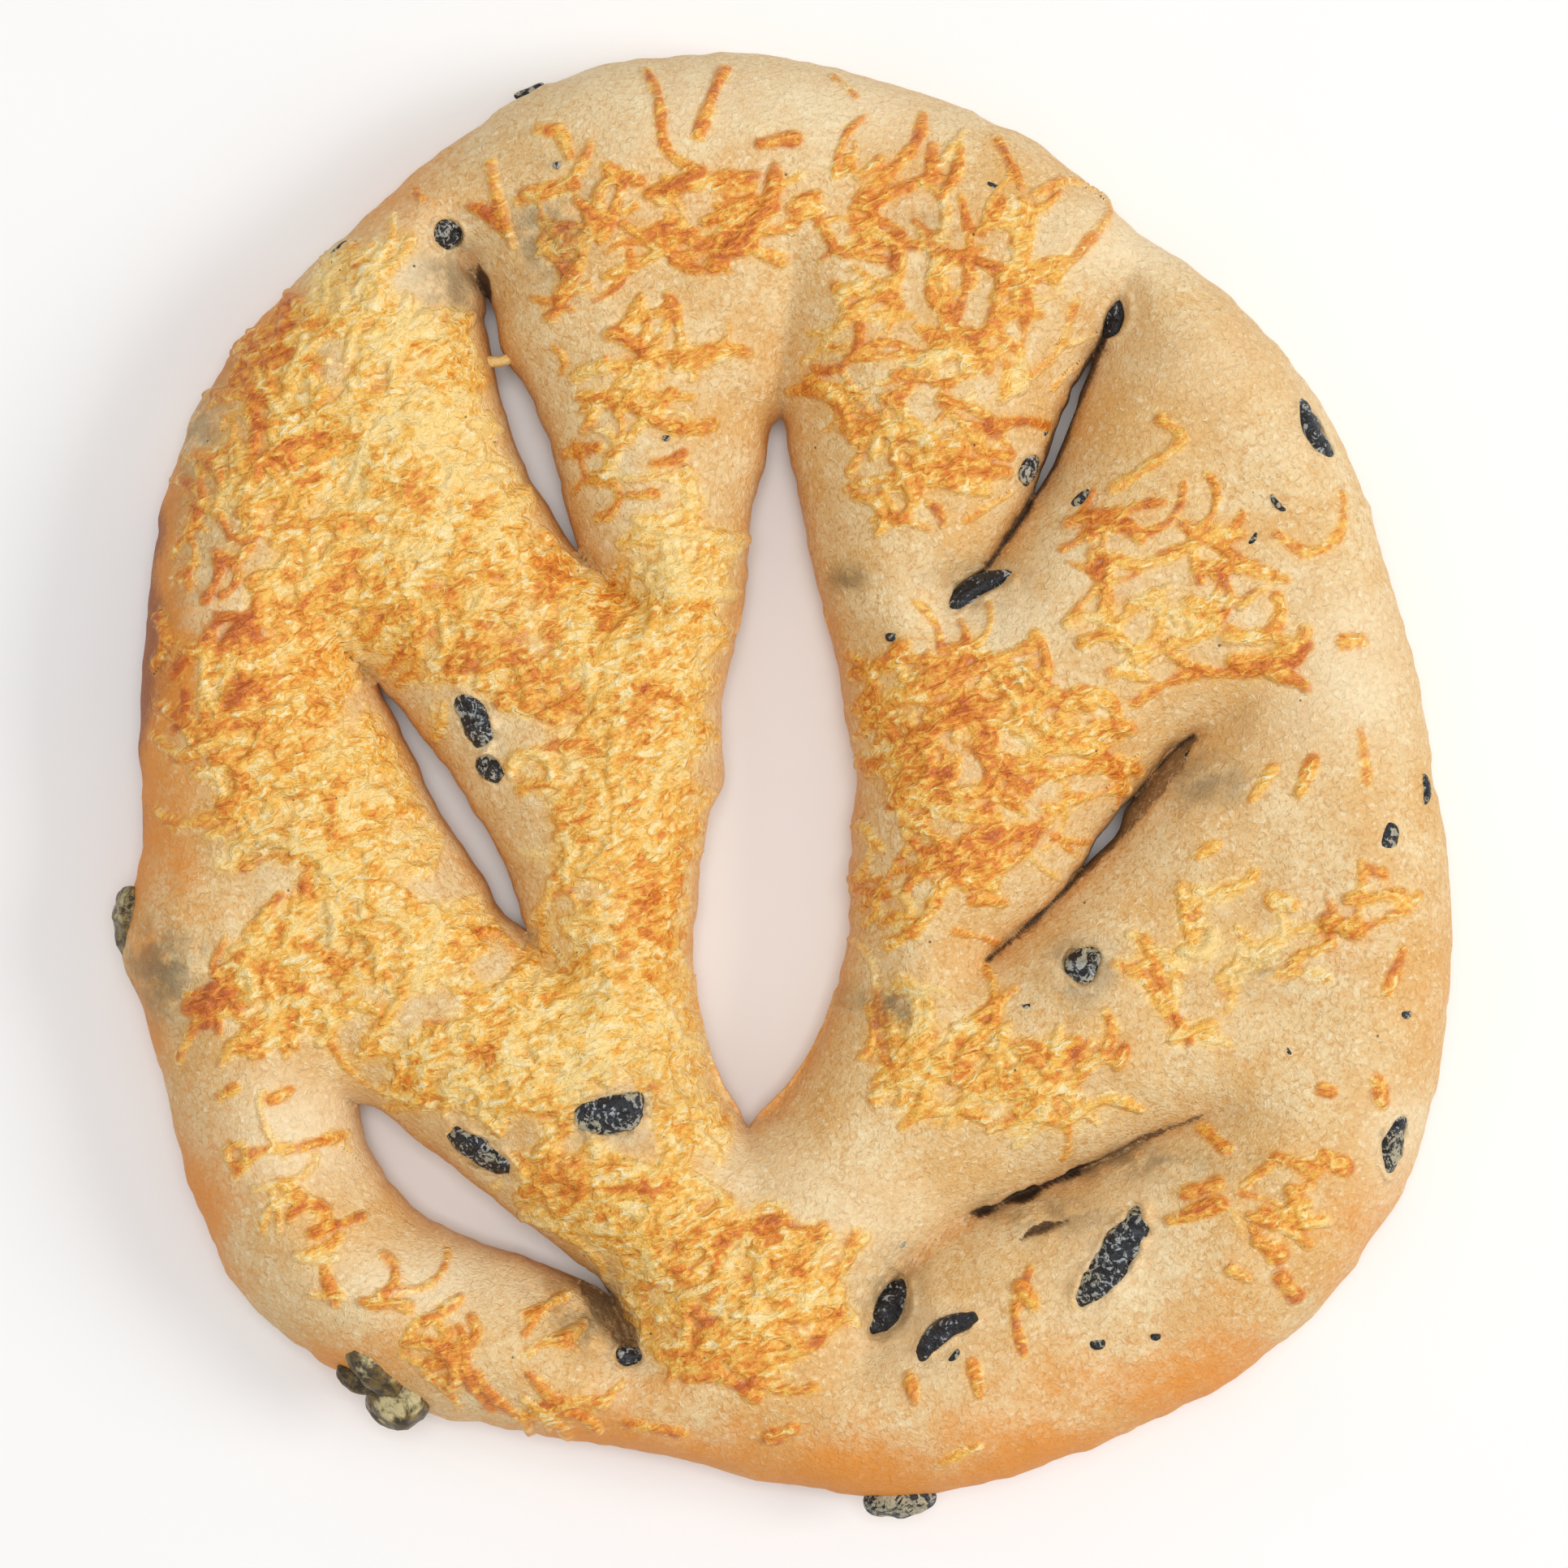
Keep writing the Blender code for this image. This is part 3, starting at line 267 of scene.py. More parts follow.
# Heaps of shreds: x, y, reach along x and y, how many, how browned, and how melted.
HEAPS = [
    (-77, 54, 8, 15, 17, 0.80, 0.12), (-60, 56, 14, 18, 60, 0.36, 1.00),
    (-67, 36, 14, 14, 46, 0.55, 1.00), (-50, 40, 13, 14, 44, 0.32, 1.00),
    (-48, 23, 22, 11, 74, 0.56, 1.00),
    (-82, 20, 8, 20, 20, 0.82, 0.12), (-72, 4, 12, 18, 52, 0.48, 0.90),
    (-60, -5, 12, 14, 36, 0.36, 1.00), (-23, 19, 12, 12, 44, 0.42, 1.00),
    (-23, 3, 11, 19, 66, 0.50, 1.00), (-23, -14, 10, 11, 34, 0.46, 0.90),
    (-57, -28, 24, 11, 66, 0.45, 0.90), (-77, -32, 8, 8, 16, 0.70, 0.40),
    (-37, -39, 15, 7, 34, 0.40, 1.00), (-49, -44, 11, 4, 20, 0.42, 1.00),
    (-30, -57, 12, 7, 32, 0.52, 1.00), (-15, -43, 6, 8, 18, 0.34, 0.95),
    (-25, -33, 12, 6, 24, 0.40, 1.00), (-9, -74, 16, 11, 52, 0.52, 0.95),
    (-21, -60, 8, 8, 22, 0.50, 0.90), (-16, 79, 14, 7, 19, 0.74, 0.34),
    (-32, 75, 8, 10, 12, 0.68, 0.34), (-23, 60, 9, 12, 18, 0.66, 0.50),
    (-24, 46, 8, 6, 8, 0.62, 0.45), (-17, 31, 7, 8, 18, 0.32, 0.90),
    (14, 80, 14, 9, 20, 0.72, 0.34), (27, 74, 9, 12, 12, 0.64, 0.34),
    (13, 59, 13, 12, 26, 0.66, 0.50), (20, 44, 12, 9, 20, 0.62, 0.60),
    (33, 61, 6, 13, 10, 0.50, 0.25), (22, 9, 15, 12, 34, 0.68, 0.55),
    (14, 1, 6, 16, 13, 0.60, 0.60), (37, 2, 13, 12, 20, 0.60, 0.50),
    (20, -13, 11, 12, 26, 0.70, 0.55),
    (54, 21, 17, 6, 18, 0.50, 0.55), (51, 34, 15, 6, 14, 0.70, 0.45),
    (27, -42, 18, 8, 38, 0.52, 0.90), (57, -25, 13, 11, 11, 0.34, 1.00),
    (14, -36, 7, 8, 8, 0.35, 0.31), (-70, -62, 7, 7, 5, 0.66, 0.40),
    (-60, -73, 8, 4, 3, 0.62, 0.30), (-43, -80, 12, 6, 13, 0.64, 0.40),
    (-72, -51, 9, 3, 3, 0.50, 0.40), (-32, -88, 7, 3, 5, 0.55, 0.30),
    (-10, -85, 8, 3, 5, 0.60, 0.30), (79, -19, 7, 5, 4, 0.70, 0.19),
    (66, -59, 8, 4, 6, 0.60, 0.19),
]
HEAP_SEED, LAID_SEED, WAVE_SEED = 23, 5, 11
LEAN = math.radians(22)         # heading that the shreds of the heaps tend to
LEAN_SPREAD = 0.65
LEAN_SWAY = 0.6                 # slow change of the lean over the loaf
STREAK_STRETCH = 2.2
HEAPED_MORE = 1.45              # shreds of a heap for each one counted
HEAPED_LENGTH = (4.0, 12.0)
HEAPED_WIDTH = (1.1, 2.5)
HEAPED_HEIGHT = (0.22, 0.40)    # height as a share of the width
HEAPED_CURL, CURL_CHANGE = 0.16, 0.05
HEAPED_TINT_SPREAD = 0.16
LAID_HEIGHT = (0.20, 0.32)
LAID_TINT_SPREAD = 0.12
LAID_MELT = 0.1
RIM_BROWN = 0.14                # how much browner a shred is at its rim than on top
LOOSE_RIM_BROWN = 0.7
SHRED_STEP = 0.8
LEAST_SHRED = 2.0
PILING = 0.42                   # how much of what it crosses lifts a shred
MOST_LIFT = 0.7
SINK = 0.05                     # how far the bare sheet lies under the crust
MELT_REACH = 1.4
BARE_TINT = 0.35
CREASE_CLEARANCE = 0.8
OLIVE_CLEARANCE = 0.5
MOST_FILM = 0.66                # share of cheese in the film between the shreds

# Small chips of olive on and under the skin: x, y, length, width, thickness, heading, sunk.
CHIPS = [
    (-33.5, -36.3, 3.4, 2.6, 1.4, 30, 0.3), (85.8, -7.3, 4.0, 3.2, 1.2, 70, 0.35),
    (91.5, -0.8, 4.6, 1.7, 1.6, 68, 0.1), (9.2, 29.2, 3.8, 3.0, 1.2, 20, 0.35),
    (-14.2, -46.2, 2.8, 2.2, 1.2, 60, 0.3), (42.0, 40.6, 3.4, 1.8, 1.6, 35, 0.2),
    (44.3, -79.0, 2.4, 1.6, 1.4, 10, 0.2), (69.6, 39.6, 3.0, 0.9, 0.9, -48, 0.1),
    (66.2, 34.6, 2.0, 0.8, 0.8, 55, 0.1), (37.4, 50.4, 2.0, 1.6, 1.2, 20, 0.2),
    (88.0, -32.6, 1.8, 1.2, 0.9, 0, 0.1), (71.0, -37.4, 2.0, 0.9, 0.9, -62, 0.1),
    (34.2, -31.4, 1.5, 1.0, 0.8, 10, 0.1), (-32.0, 87.2, 1.2, 1.0, 0.8, 0, 0.2),
    (-36.6, 99.6, 4.6, 1.6, 1.4, 22, 0.2), (-63.6, 76.6, 3.0, 1.0, 1.0, 24, 0.2),
    (57.6, 4.4, 2.6, 1.6, 1.6, 30, 0.4), (16.8, -65.4, 1.4, 1.0, 0.8, 40, 0.1),
    (81.6, -18.4, 1.4, 1.2, 0.8, 0, 0.1), (-21.4, 59.0, 1.4, 1.0, 0.8, 0, 0.1),
    (-16.6, 48.8, 1.0, 0.8, 0.8, 0, 0.1), (15.0, 20.8, 1.6, 1.2, 0.9, 0, 0.1),
    (52.4, -78.0, 1.4, 1.0, 0.8, 0, 0.1), (24.0, -80.6, 2.2, 1.0, 1.0, 50, 0.1),
    (29.6, 84.6, 2.2, 1.0, 0.9, -20, 0.15), (29.2, 64.6, 1.6, 1.2, 0.9, 0, 0.15),
]


def catmull_rom(stations, step, closed=False):
    """Points a step apart on the smooth curve through the stations, column by column."""
    knots = np.array(stations, float)
    if closed:
        knots = np.vstack([knots[-1:], knots, knots[:2]])
    else:
        knots = np.vstack([2 * knots[0] - knots[1], knots, 2 * knots[-1] - knots[-2]])
    rows = []
    for a, b, c, d in zip(knots, knots[1:], knots[2:], knots[3:]):
        pieces = max(1, round(np.linalg.norm((c - b)[:2]) / step))
        for t in np.arange(pieces) / pieces:
            rows.append(0.5 * (2 * b + (c - a) * t + (2 * a - 5 * b + 4 * c - d) * t**2
                               + (3 * b - a - 3 * c + d) * t**3))
    if not closed:
        rows.append(knots[-2])
    return np.array(rows)


def segment_distance(points, line):
    """Least distance from each point to a line's segments, less the line's half width."""
    best = np.full(len(points), np.inf)
    x, y = points[:, 0], points[:, 1]
    for start, end in zip(line[:-1], line[1:]):
        along = end[:2] - start[:2]
        off_x, off_y = x - start[0], y - start[1]
        t = (off_x * along[0] + off_y * along[1]) / max(along @ along, 1e-12)
        t = np.clip(t, 0, 1)
        gap = np.hypot(off_x - t * along[0], off_y - t * along[1])
        best = np.minimum(best, gap - (start[2] + t * (end[2] - start[2])))
    return best


def closed_line(loop):
    """A loop of plan points as a line of no width that ends where it starts."""
    return np.column_stack([np.vstack([loop, loop[:1]]), np.zeros(len(loop) + 1)])


OUTLINE_LINE = closed_line(catmull_rom(OUTLINE, CURVE_STEP, closed=True))
SLASH_LINES = [catmull_rom(rows, CURVE_STEP) for rows in SLASHES.values()]


def edge_distance(points, healing=1.0):
    """Distance to the nearest edge, with the meeting of two edges' rises rounded."""
    each = [segment_distance(points, OUTLINE_LINE)]
    for line in SLASH_LINES:
        widths = np.where(line[:, 2] < 0, line[:, 2] * healing, line[:, 2])
        each.append(segment_distance(points, np.column_stack([line[:, :2], widths])))
    each = np.array(each)
    nearest = each.min(axis=0)
    spread = np.exp(-(each - nearest) / ROLL_BLEND).sum(axis=0)
    return np.maximum(nearest - ROLL_BLEND * np.log(spread), 0.02)


def rounded_rise(share, power):
    """0 to 1 with a vertical start and a level end."""
    rest = 1 - np.clip(share, 0, 1)
    return (1 - rest**power) ** (1 / power)


def swell(points):
    """Slow hills and hollows of the hand-shaped dough."""
    x, y = points[:, 0], points[:, 1]
    return SWELL * (np.sin(x / 17.0 + 0.6) * np.cos(y / 21.0 - 0.4)
                    + 0.6 * np.sin((x + y) / 11.0 + 1.1))


def noise(points, size, seed):
    """Smooth noise between -1 and 1 whose lumps are about the size across."""
    side = 128
    table = np.random.default_rng(seed).uniform(-1, 1, (side, side))
    spot = points[:, :2] / size + 1000.0
    cell = np.floor(spot).astype(int)
    part = spot - cell
    part = part * part * (3 - 2 * part)
    x0, y0 = cell[:, 0] % side, cell[:, 1] % side
    x1, y1 = (x0 + 1) % side, (y0 + 1) % side
    low = table[x0, y0] * (1 - part[:, 0]) + table[x1, y0] * part[:, 0]
    high = table[x0, y1] * (1 - part[:, 0]) + table[x1, y1] * part[:, 0]
    return low * (1 - part[:, 1]) + high * part[:, 1]


def smoothstep(values, low, high):
    share = np.clip((values - low) / (high - low), 0, 1)
    return share * share * (3 - 2 * share)


def top_height(points, distance):
    rise = rounded_rise(distance / SHOULDER_RUN, SHOULDER_POWER)
    return EDGE_HEIGHT + (CREST_HEIGHT - EDGE_HEIGHT + swell(points)) * rise


def base_height(points):
    share = edge_distance(points, BASE_HEALING) / FOOT_RUN
    return EDGE_HEIGHT * (1 - rounded_rise(share, 2.0))


def uneven(points, distance):
    """Plan points moved a little near the edges, which makes the edges uneven."""
    fade = RAGGEDNESS * (1 - smoothstep(distance, 0.5, 3.0))
    shifts = [noise(points, 4.4, seed) + 0.7 * noise(points, 1.9, seed + 1) for seed in (15, 17)]
    return points + fade[:, None] * np.column_stack(shifts)


def left_of(steps):
    """Unit vectors to the left of steps in the plan."""
    steps = steps / np.linalg.norm(steps, axis=1)[:, None]
    return np.column_stack([-steps[:, 1], steps[:, 0]])


def slash_loop(rows, step):
    """The closed edge of the open stretch of a slash, or None if it is closed all along."""
    line = catmull_rom(rows, step)
    plan, widths = line[:, :2], line[:, 2:]
    is_open = line[:, 2] > LEAST_OPEN
    if is_open.sum() < 2:
        return None
    side = left_of(np.gradient(plan, axis=0)) * widths
    left = (plan + side)[is_open]
    right = (plan - side)[is_open][::-1]
    first, last = np.flatnonzero(is_open)[[0, -1]]
    return np.vstack([(plan[first] + plan[first - 1]) / 2, left,
                      (plan[last] + plan[last + 1]) / 2, right])


def plan_loops():
    loops = [catmull_rom(OUTLINE, LOOP_STEP, closed=True)]
    found = (slash_loop(rows, SLASH_STEP) for rows in SLASHES.values())
    return loops + [loop for loop in found if loop is not None]


def inside(points, loops):
    """Whether each point lies on dough, by counting the edges to its right."""
    odd = np.zeros(len(points), bool)
    for loop in loops:
        for (x0, y0), (x1, y1) in zip(loop, np.roll(loop, -1, 0)):
            crosses = (y0 > points[:, 1]) != (y1 > points[:, 1])
            reach = x0 + (points[:, 1] - y0) * (x1 - x0) / (y1 - y0 if y1 != y0 else 1e-12)
            odd ^= crosses & (points[:, 0] < reach)
    return odd


def loop_distance(points, loops):
    return np.min([segment_distance(points, closed_line(loop)) for loop in loops], axis=0)


def inset_points(loops, rings):
    """Points at set distances inside every edge, dropped where another edge is nearer."""
    kept = []
    for loop in loops:
        normal = left_of(np.roll(loop, -1, 0) - np.roll(loop, 1, 0))
        for ring in rings:
            for shift in (ring, -ring):
                points = loop + shift * normal
                points = points[inside(points, loops)]
                kept.append(points[loop_distance(points, loops) > 0.9 * ring])
    return np.vstack(kept)


def hex_grid(step, loops, clearance):
    """Points of a grid of equal triangles, a clearance inside every edge."""
    row_step = step * math.sqrt(0.75)
    reach = 110
    rows = []
    for j, y in enumerate(np.arange(-reach, reach, row_step)):
        x = np.arange(-reach, reach, step) + (j % 2) * step / 2
        rows.append(np.column_stack([x, np.full(len(x), y)]))
    points = np.vstack(rows)
    points = points[inside(points, loops)]
    return points[loop_distance(points, loops) > clearance]


def triangulate(loops, extra):
    """Plan triangles of the dough. Returns points, faces and each loop point's index."""
    edge_points = np.vstack(loops)
    points = np.vstack([edge_points, extra])
    edges, start = [], 0
    for loop in loops:
        edges += [(start + i, start + (i + 1) % len(loop)) for i in range(len(loop))]
        start += len(loop)
    found = delaunay_2d_cdt([tuple(p) for p in points], edges, [], 0, 1e-5)
    plan = np.array([tuple(v) for v in found[0]])
    faces = np.array([f for f in found[2] if len(f) == 3])
    faces = faces[inside(plan[faces].mean(axis=1), loops)]
    index = {old: new for new, olds in enumerate(found[3]) for old in olds}
    return plan, upward(plan, faces), [index[i] for i in range(len(edge_points))]


def upward(plan, faces):
    """Faces in counter-clockwise order."""
    a, b, c = (plan[faces[:, k]] for k in range(3))
    turn = (b - a)[:, 0] * (c - a)[:, 1] - (b - a)[:, 1] * (c - a)[:, 0]
    return np.where(turn[:, None] > 0, faces, faces[:, ::-1])


def make_piece(name, points, faces, material):
    """A mesh piece of the loaf, from points in millimetres."""
    mesh = bpy.data.meshes.new(name)
    mesh.from_pydata((np.asarray(points) * MM).tolist(), [], np.asarray(faces).tolist())
    mesh.shade_smooth()
    mesh.materials.append(material)
    made = bpy.data.objects.new(name, mesh)
    bpy.context.scene.collection.objects.link(made)
    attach(made, "root")
    return made


def set_values(piece, name, values):
    """Stores one number for each point of a piece under a name that its material reads."""
    layers = piece.data.attributes
    layer = layers.get(name) or layers.new(name, "FLOAT", "POINT")
    layer.data.foreach_set("value", np.asarray(values, np.float32))


def read(grid, points):
    """A grid's numbers at plan points, mixed between the grid's own points."""
    spot = (points[:, :2] + GRID_REACH) / GRID_STEP
    i = np.clip(spot[:, 0].astype(int), 0, grid.shape[0] - 2)
    j = np.clip(spot[:, 1].astype(int), 0, grid.shape[1] - 2)
    shape = (-1,) + (1,) * (grid.ndim - 2)
    s, t = (spot[:, 0] - i).reshape(shape), (spot[:, 1] - j).reshape(shape)
    return ((grid[i, j] * (1 - s) + grid[i + 1, j] * s) * (1 - t)
            + (grid[i, j + 1] * (1 - s) + grid[i + 1, j + 1] * s) * t)


def blurred(grid, radius):
    """A grid averaged over a radius, by three running means each way."""
    width = max(1, round(radius / GRID_STEP))
    kernel = np.ones(2 * width + 1) / (2 * width + 1)
    for _ in range(3):
        grid = np.apply_along_axis(np.convolve, 0, grid, kernel, mode="same")
        grid = np.apply_along_axis(np.convolve, 1, grid, kernel, mode="same")
    return grid


# The crust.

def olive_share(points, row, margin):
    """How far out each point lies over an olive piece: 1 at its outline plus a margin."""
    x, y, length, width, _, heading, _, bend, _ = row
    turn = math.radians(heading)
    off = points[:, :2] - (x, y)
    along = (off[:, 0] * math.cos(turn) + off[:, 1] * math.sin(turn)) / (length / 2 + margin)
    across = -off[:, 0] * math.sin(turn) + off[:, 1] * math.cos(turn)
    across = (across - bend * length * (np.clip(along, -1, 1) ** 2 - 0.4)) / (width / 2 + margin)
    return np.hypot(along, across)


def tear_share(points):
    """How dark the tears are at each point, from 0 outside to 1, and their depth there. The
    darkness is torn dough and painted shade in the cracks.
    """
    share, depth = np.zeros(len(points)), np.zeros(len(points))
    for tear_depth, dark, *stations in TEARS:
        line = catmull_rom(stations, TEAR_LINE_STEP)
        near = np.abs(points[:, :2] - line[:, :2].mean(axis=0)).max(axis=1) < TEAR_WINDOW
        ragged = 0.18 * noise(points[near], 0.8, 5) + 0.16 * noise(points[near], 2.2, 6)
        inner = smoothstep(-segment_distance(points[near], line) + ragged, -0.25, 0.2)
        share[near] = np.maximum(share[near], inner * dark)
        depth[near] = np.maximum(depth[near], inner * tear_depth)
    return share, depth


def crust_relief(points, distance):
    """Lumps of the dough, the seats of the olives and the tears, in height."""
    fade = smoothstep(distance, 0.3, 3.0)
    relief = 0.34 * noise(points, 9.0, 1) + 0.20 * noise(points, 4.2, 2)
    relief += 0.09 * noise(points, 2.0, 3)
    relief *= fade
    seat = 0.86 + 0.24 * noise(points, 2.0, 21)
    lip = 0.3 + 0.9 * noise(points, 1.7, 14)
    for row in TOP_OLIVES.values():
        share = olive_share(points, row, OLIVE_GAP)
        relief -= 1.5 * smoothstep(seat - share, 0.0, 0.35)
        relief += lip * np.exp(-(((share - 0.94) / 0.17) ** 2))
    return relief - tear_share(points)[1]


def torn_slash(name):
    """The stretch of a slash that is open or hardly healed."""
    line = catmull_rom(SLASHES[name], CURVE_STEP)
    return line[line[:, 2] > LEAST_TORN]


def olive_line(row):
    """The middle line of an olive piece, with its half width."""
    x, y, length, width, _, heading, *_ = row
    turn = math.radians(heading)
    along = np.array([math.cos(turn), math.sin(turn)]) * max(length - width, 0.2) / 2
    return np.array([[x - along[0], y - along[1], width / 2],
                     [x + along[0], y + along[1], width / 2]])


def tear_points():
    """Close points around the tears and the olives, whose edges are ragged."""
    lines = [catmull_rom(stations, TEAR_LINE_STEP) for _, _, *stations in TEARS]
    lines += [torn_slash(name) for name in TORN_AND_SHADE_WIDTHS]
    lines += [olive_line(row) for row in TOP_OLIVES.values()]
    grids = []
    for line in lines:
        reach = TEAR_REACH + max(line[:, 2].max(), 0)
        low, high = line[:, :2].min(axis=0) - reach, line[:, :2].max(axis=0) + reach
        x, y = np.meshgrid(np.arange(low[0], high[0], TEAR_STEP),
                           np.arange(low[1], high[1], TEAR_STEP))
        points = np.column_stack([x.ravel(), y.ravel()])
        grids.append(points[segment_distance(points, line) < TEAR_REACH / 2])
    return np.vstack(grids)


def build_crust(loops):
    """Points and faces of the closed crust, and how many of the points are its top's."""
    rings = inset_points(loops, TOP_RINGS)
    grid = hex_grid(TOP_STEP, loops, TOP_RINGS[-1] + TOP_STEP / 2)
    tears = tear_points()
    tears = tears[inside(tears, loops)]
    tears = tears[loop_distance(tears, loops) > TOP_RINGS[1]]
    top, top_faces, top_edge = triangulate(loops, np.vstack([rings, grid, tears]))
    base_rings = inset_points(loops, BASE_RINGS)
    base_grid = hex_grid(BASE_STEP, loops, BASE_RINGS[-1] + BASE_STEP / 2)
    base, base_faces, base_edge = triangulate(loops, np.vstack([base_rings, base_grid]))

    distance = edge_distance(top)
    top_z = top_height(top, distance) + crust_relief(top, distance)
    top_z[top_edge] = EDGE_HEIGHT
    base_z = base_height(base)
    top = uneven(top, distance)
    base = uneven(base, edge_distance(base))
    shared = dict(zip(base_edge, top_edge))
    index = np.zeros(len(base), int)
    added = [i for i in range(len(base)) if i not in shared]
    index[added] = len(top) + np.arange(len(added))
    index[list(shared)] = list(shared.values())
    points = np.vstack([np.column_stack([top, top_z]),
                        np.column_stack([base, base_z])[added]])
    faces = np.vstack([top_faces, index[base_faces[:, ::-1]]])
    return points, faces, len(top)


# Colours are given as sRGB values out of 255.

def linear(*colour):
    shares = np.array(colour) / 255
    low, high = shares / 12.92, ((shares + 0.055) / 1.055) ** 2.4
    return (*np.where(shares <= 0.04045, low, high).tolist(), 1.0)


class Tree:
    """A material's node tree, with short calls for the nodes it uses."""

    def __init__(self, name):
        self.material = bpy.data.materials.new(name)
        self.material.use_nodes = True
        self.nodes = self.material.node_tree.nodes
        self.links = self.material.node_tree.links
        self.shader = self.nodes["Principled BSDF"]
        self.place = self.nodes.new("ShaderNodeTexCoord").outputs["Object"]

    def fill(self, node, values):
        """Sets or links inputs of a node, which are given by name or number."""
        for name, value in values.items():
            if isinstance(value, bpy.types.NodeSocket):
                self.links.new(value, node.inputs[name])
            else:
                node.inputs[name].default_value = value

    def noise(self, size, detail=2.0, rough=0.5, distortion=0.0, place=None):
        """Noise from 0 to 1 whose lumps are about the size across."""
        node = self.nodes.new("ShaderNodeTexNoise")
        self.fill(node, {"Vector": place or self.place, "Scale": 1 / (size * MM),
                         "Detail": detail, "Roughness": rough, "Distortion": distortion})
        return node.outputs["Fac"]

    def along(self, heading, stretch):
        """Places at which noise is drawn out along a heading in the plan."""
        node = self.nodes.new("ShaderNodeMapping")
        node.vector_type = "TEXTURE"
        self.fill(node, {"Vector": self.place, "Rotation": (0, 0, heading),
                         "Scale": (stretch, 1, 1)})
        return node.outputs["Vector"]

    def cells(self, size):
        """Distance to the nearest of points strewn about the size apart."""
        node = self.nodes.new("ShaderNodeTexVoronoi")
        self.fill(node, {"Vector": self.place, "Scale": 1 / (size * MM)})
        return node.outputs["Distance"]

    def stored(self, name):
        """A number that the piece stores at each of its points."""
        node = self.nodes.new("ShaderNodeAttribute")
        node.attribute_name = name
        return node.outputs["Fac"]

    def maths(self, operation, a, b=0.0, c=0.0):
        node = self.nodes.new("ShaderNodeMath")
        node.operation = operation
        self.fill(node, {0: a, 1: b, 2: c})
        return node.outputs["Value"]

    def vary(self, value, noise, swing):
        """The value raised and lowered by noise, through the swing in all."""
        change = self.maths("MULTIPLY_ADD", noise, swing, -swing / 2)
        return self.maths("ADD", value, change)

    def step(self, value, low, high, to_low=0.0, to_high=1.0):
        """A smooth step from one value to another."""
        node = self.nodes.new("ShaderNodeMapRange")
        node.interpolation_type = "SMOOTHSTEP"
        self.fill(node, {"Value": value, "From Min": low, "From Max": high,
                         "To Min": to_low, "To Max": to_high})
        return node.outputs["Result"]

    def mix(self, share, a, b):
        """Colour a with a share of colour b laid over it."""
        node = self.nodes.new("ShaderNodeMix")
        node.data_type = "RGBA"
        self.fill(node, {"Factor": share, 6: a, 7: b})
        return node.outputs[2]

    def ramp(self, value, *stops):
        """A colour ramp through (place, colour) stops."""
        node = self.nodes.new("ShaderNodeValToRGB")
        self.fill(node, {"Fac": value})
        elements = node.color_ramp.elements
        while len(elements) < len(stops):
            elements.new(0.5)
        for element, (spot, colour) in zip(elements, stops):
            element.position = spot
            element.color = colour
        return node.outputs["Color"]

    def bump(self, height, depth, before=None, strength=1.0):
        """Bump whose height 1 is the depth in millimetres."""
        node = self.nodes.new("ShaderNodeBump")
        self.fill(node, {"Strength": strength, "Distance": depth * MM, "Height": height})
        if before is not None:
            self.fill(node, {"Normal": before})
        return node.outputs["Normal"]

    def finish(self, colour, roughness, normal):
        self.fill(self.shader, {"Base Color": colour, "Roughness": roughness, "Normal": normal})
        return self.material


DOUGH_PALE = linear(239, 213, 163)
DOUGH_TAN = linear(226, 177, 106)
DOUGH_PIT = linear(206, 152, 84)
# The toast colour also paints the shade on the walls of the slashes.
DOUGH_TOAST_AND_SHADE = linear(234, 148, 50)
# The scorch colour also paints the shade on the left rim.
DOUGH_SCORCH_AND_SHADE = linear(166, 92, 38)
DOUGH_FLOUR = linear(248, 232, 196)
# The stain colour also paints shade beside a slash wall, a cavity, the left rim and crease
# valleys.
DOUGH_STAIN_AND_SHADE = linear(126, 106, 76)
# The torn dough colour also paints shade on a slash wall and along a crease valley.
DOUGH_TORN_AND_SHADE = linear(142, 106, 68)
# Painted shade in the cracks and at the middle of the torn slashes.
DOUGH_CRACK_SHADE = linear(84, 60, 40)
# Painted highlight on the palest streaks of the cheese.
CHEESE_PAINTED_HIGHLIGHT = linear(255, 234, 184)
CHEESE_CREAM = linear(253, 218, 138)
CHEESE_YELLOW = linear(247, 188, 76)
CHEESE_GOLD = linear(230, 136, 36)
CHEESE_BROWN = linear(194, 92, 24)
SPECK = linear(62, 46, 38)


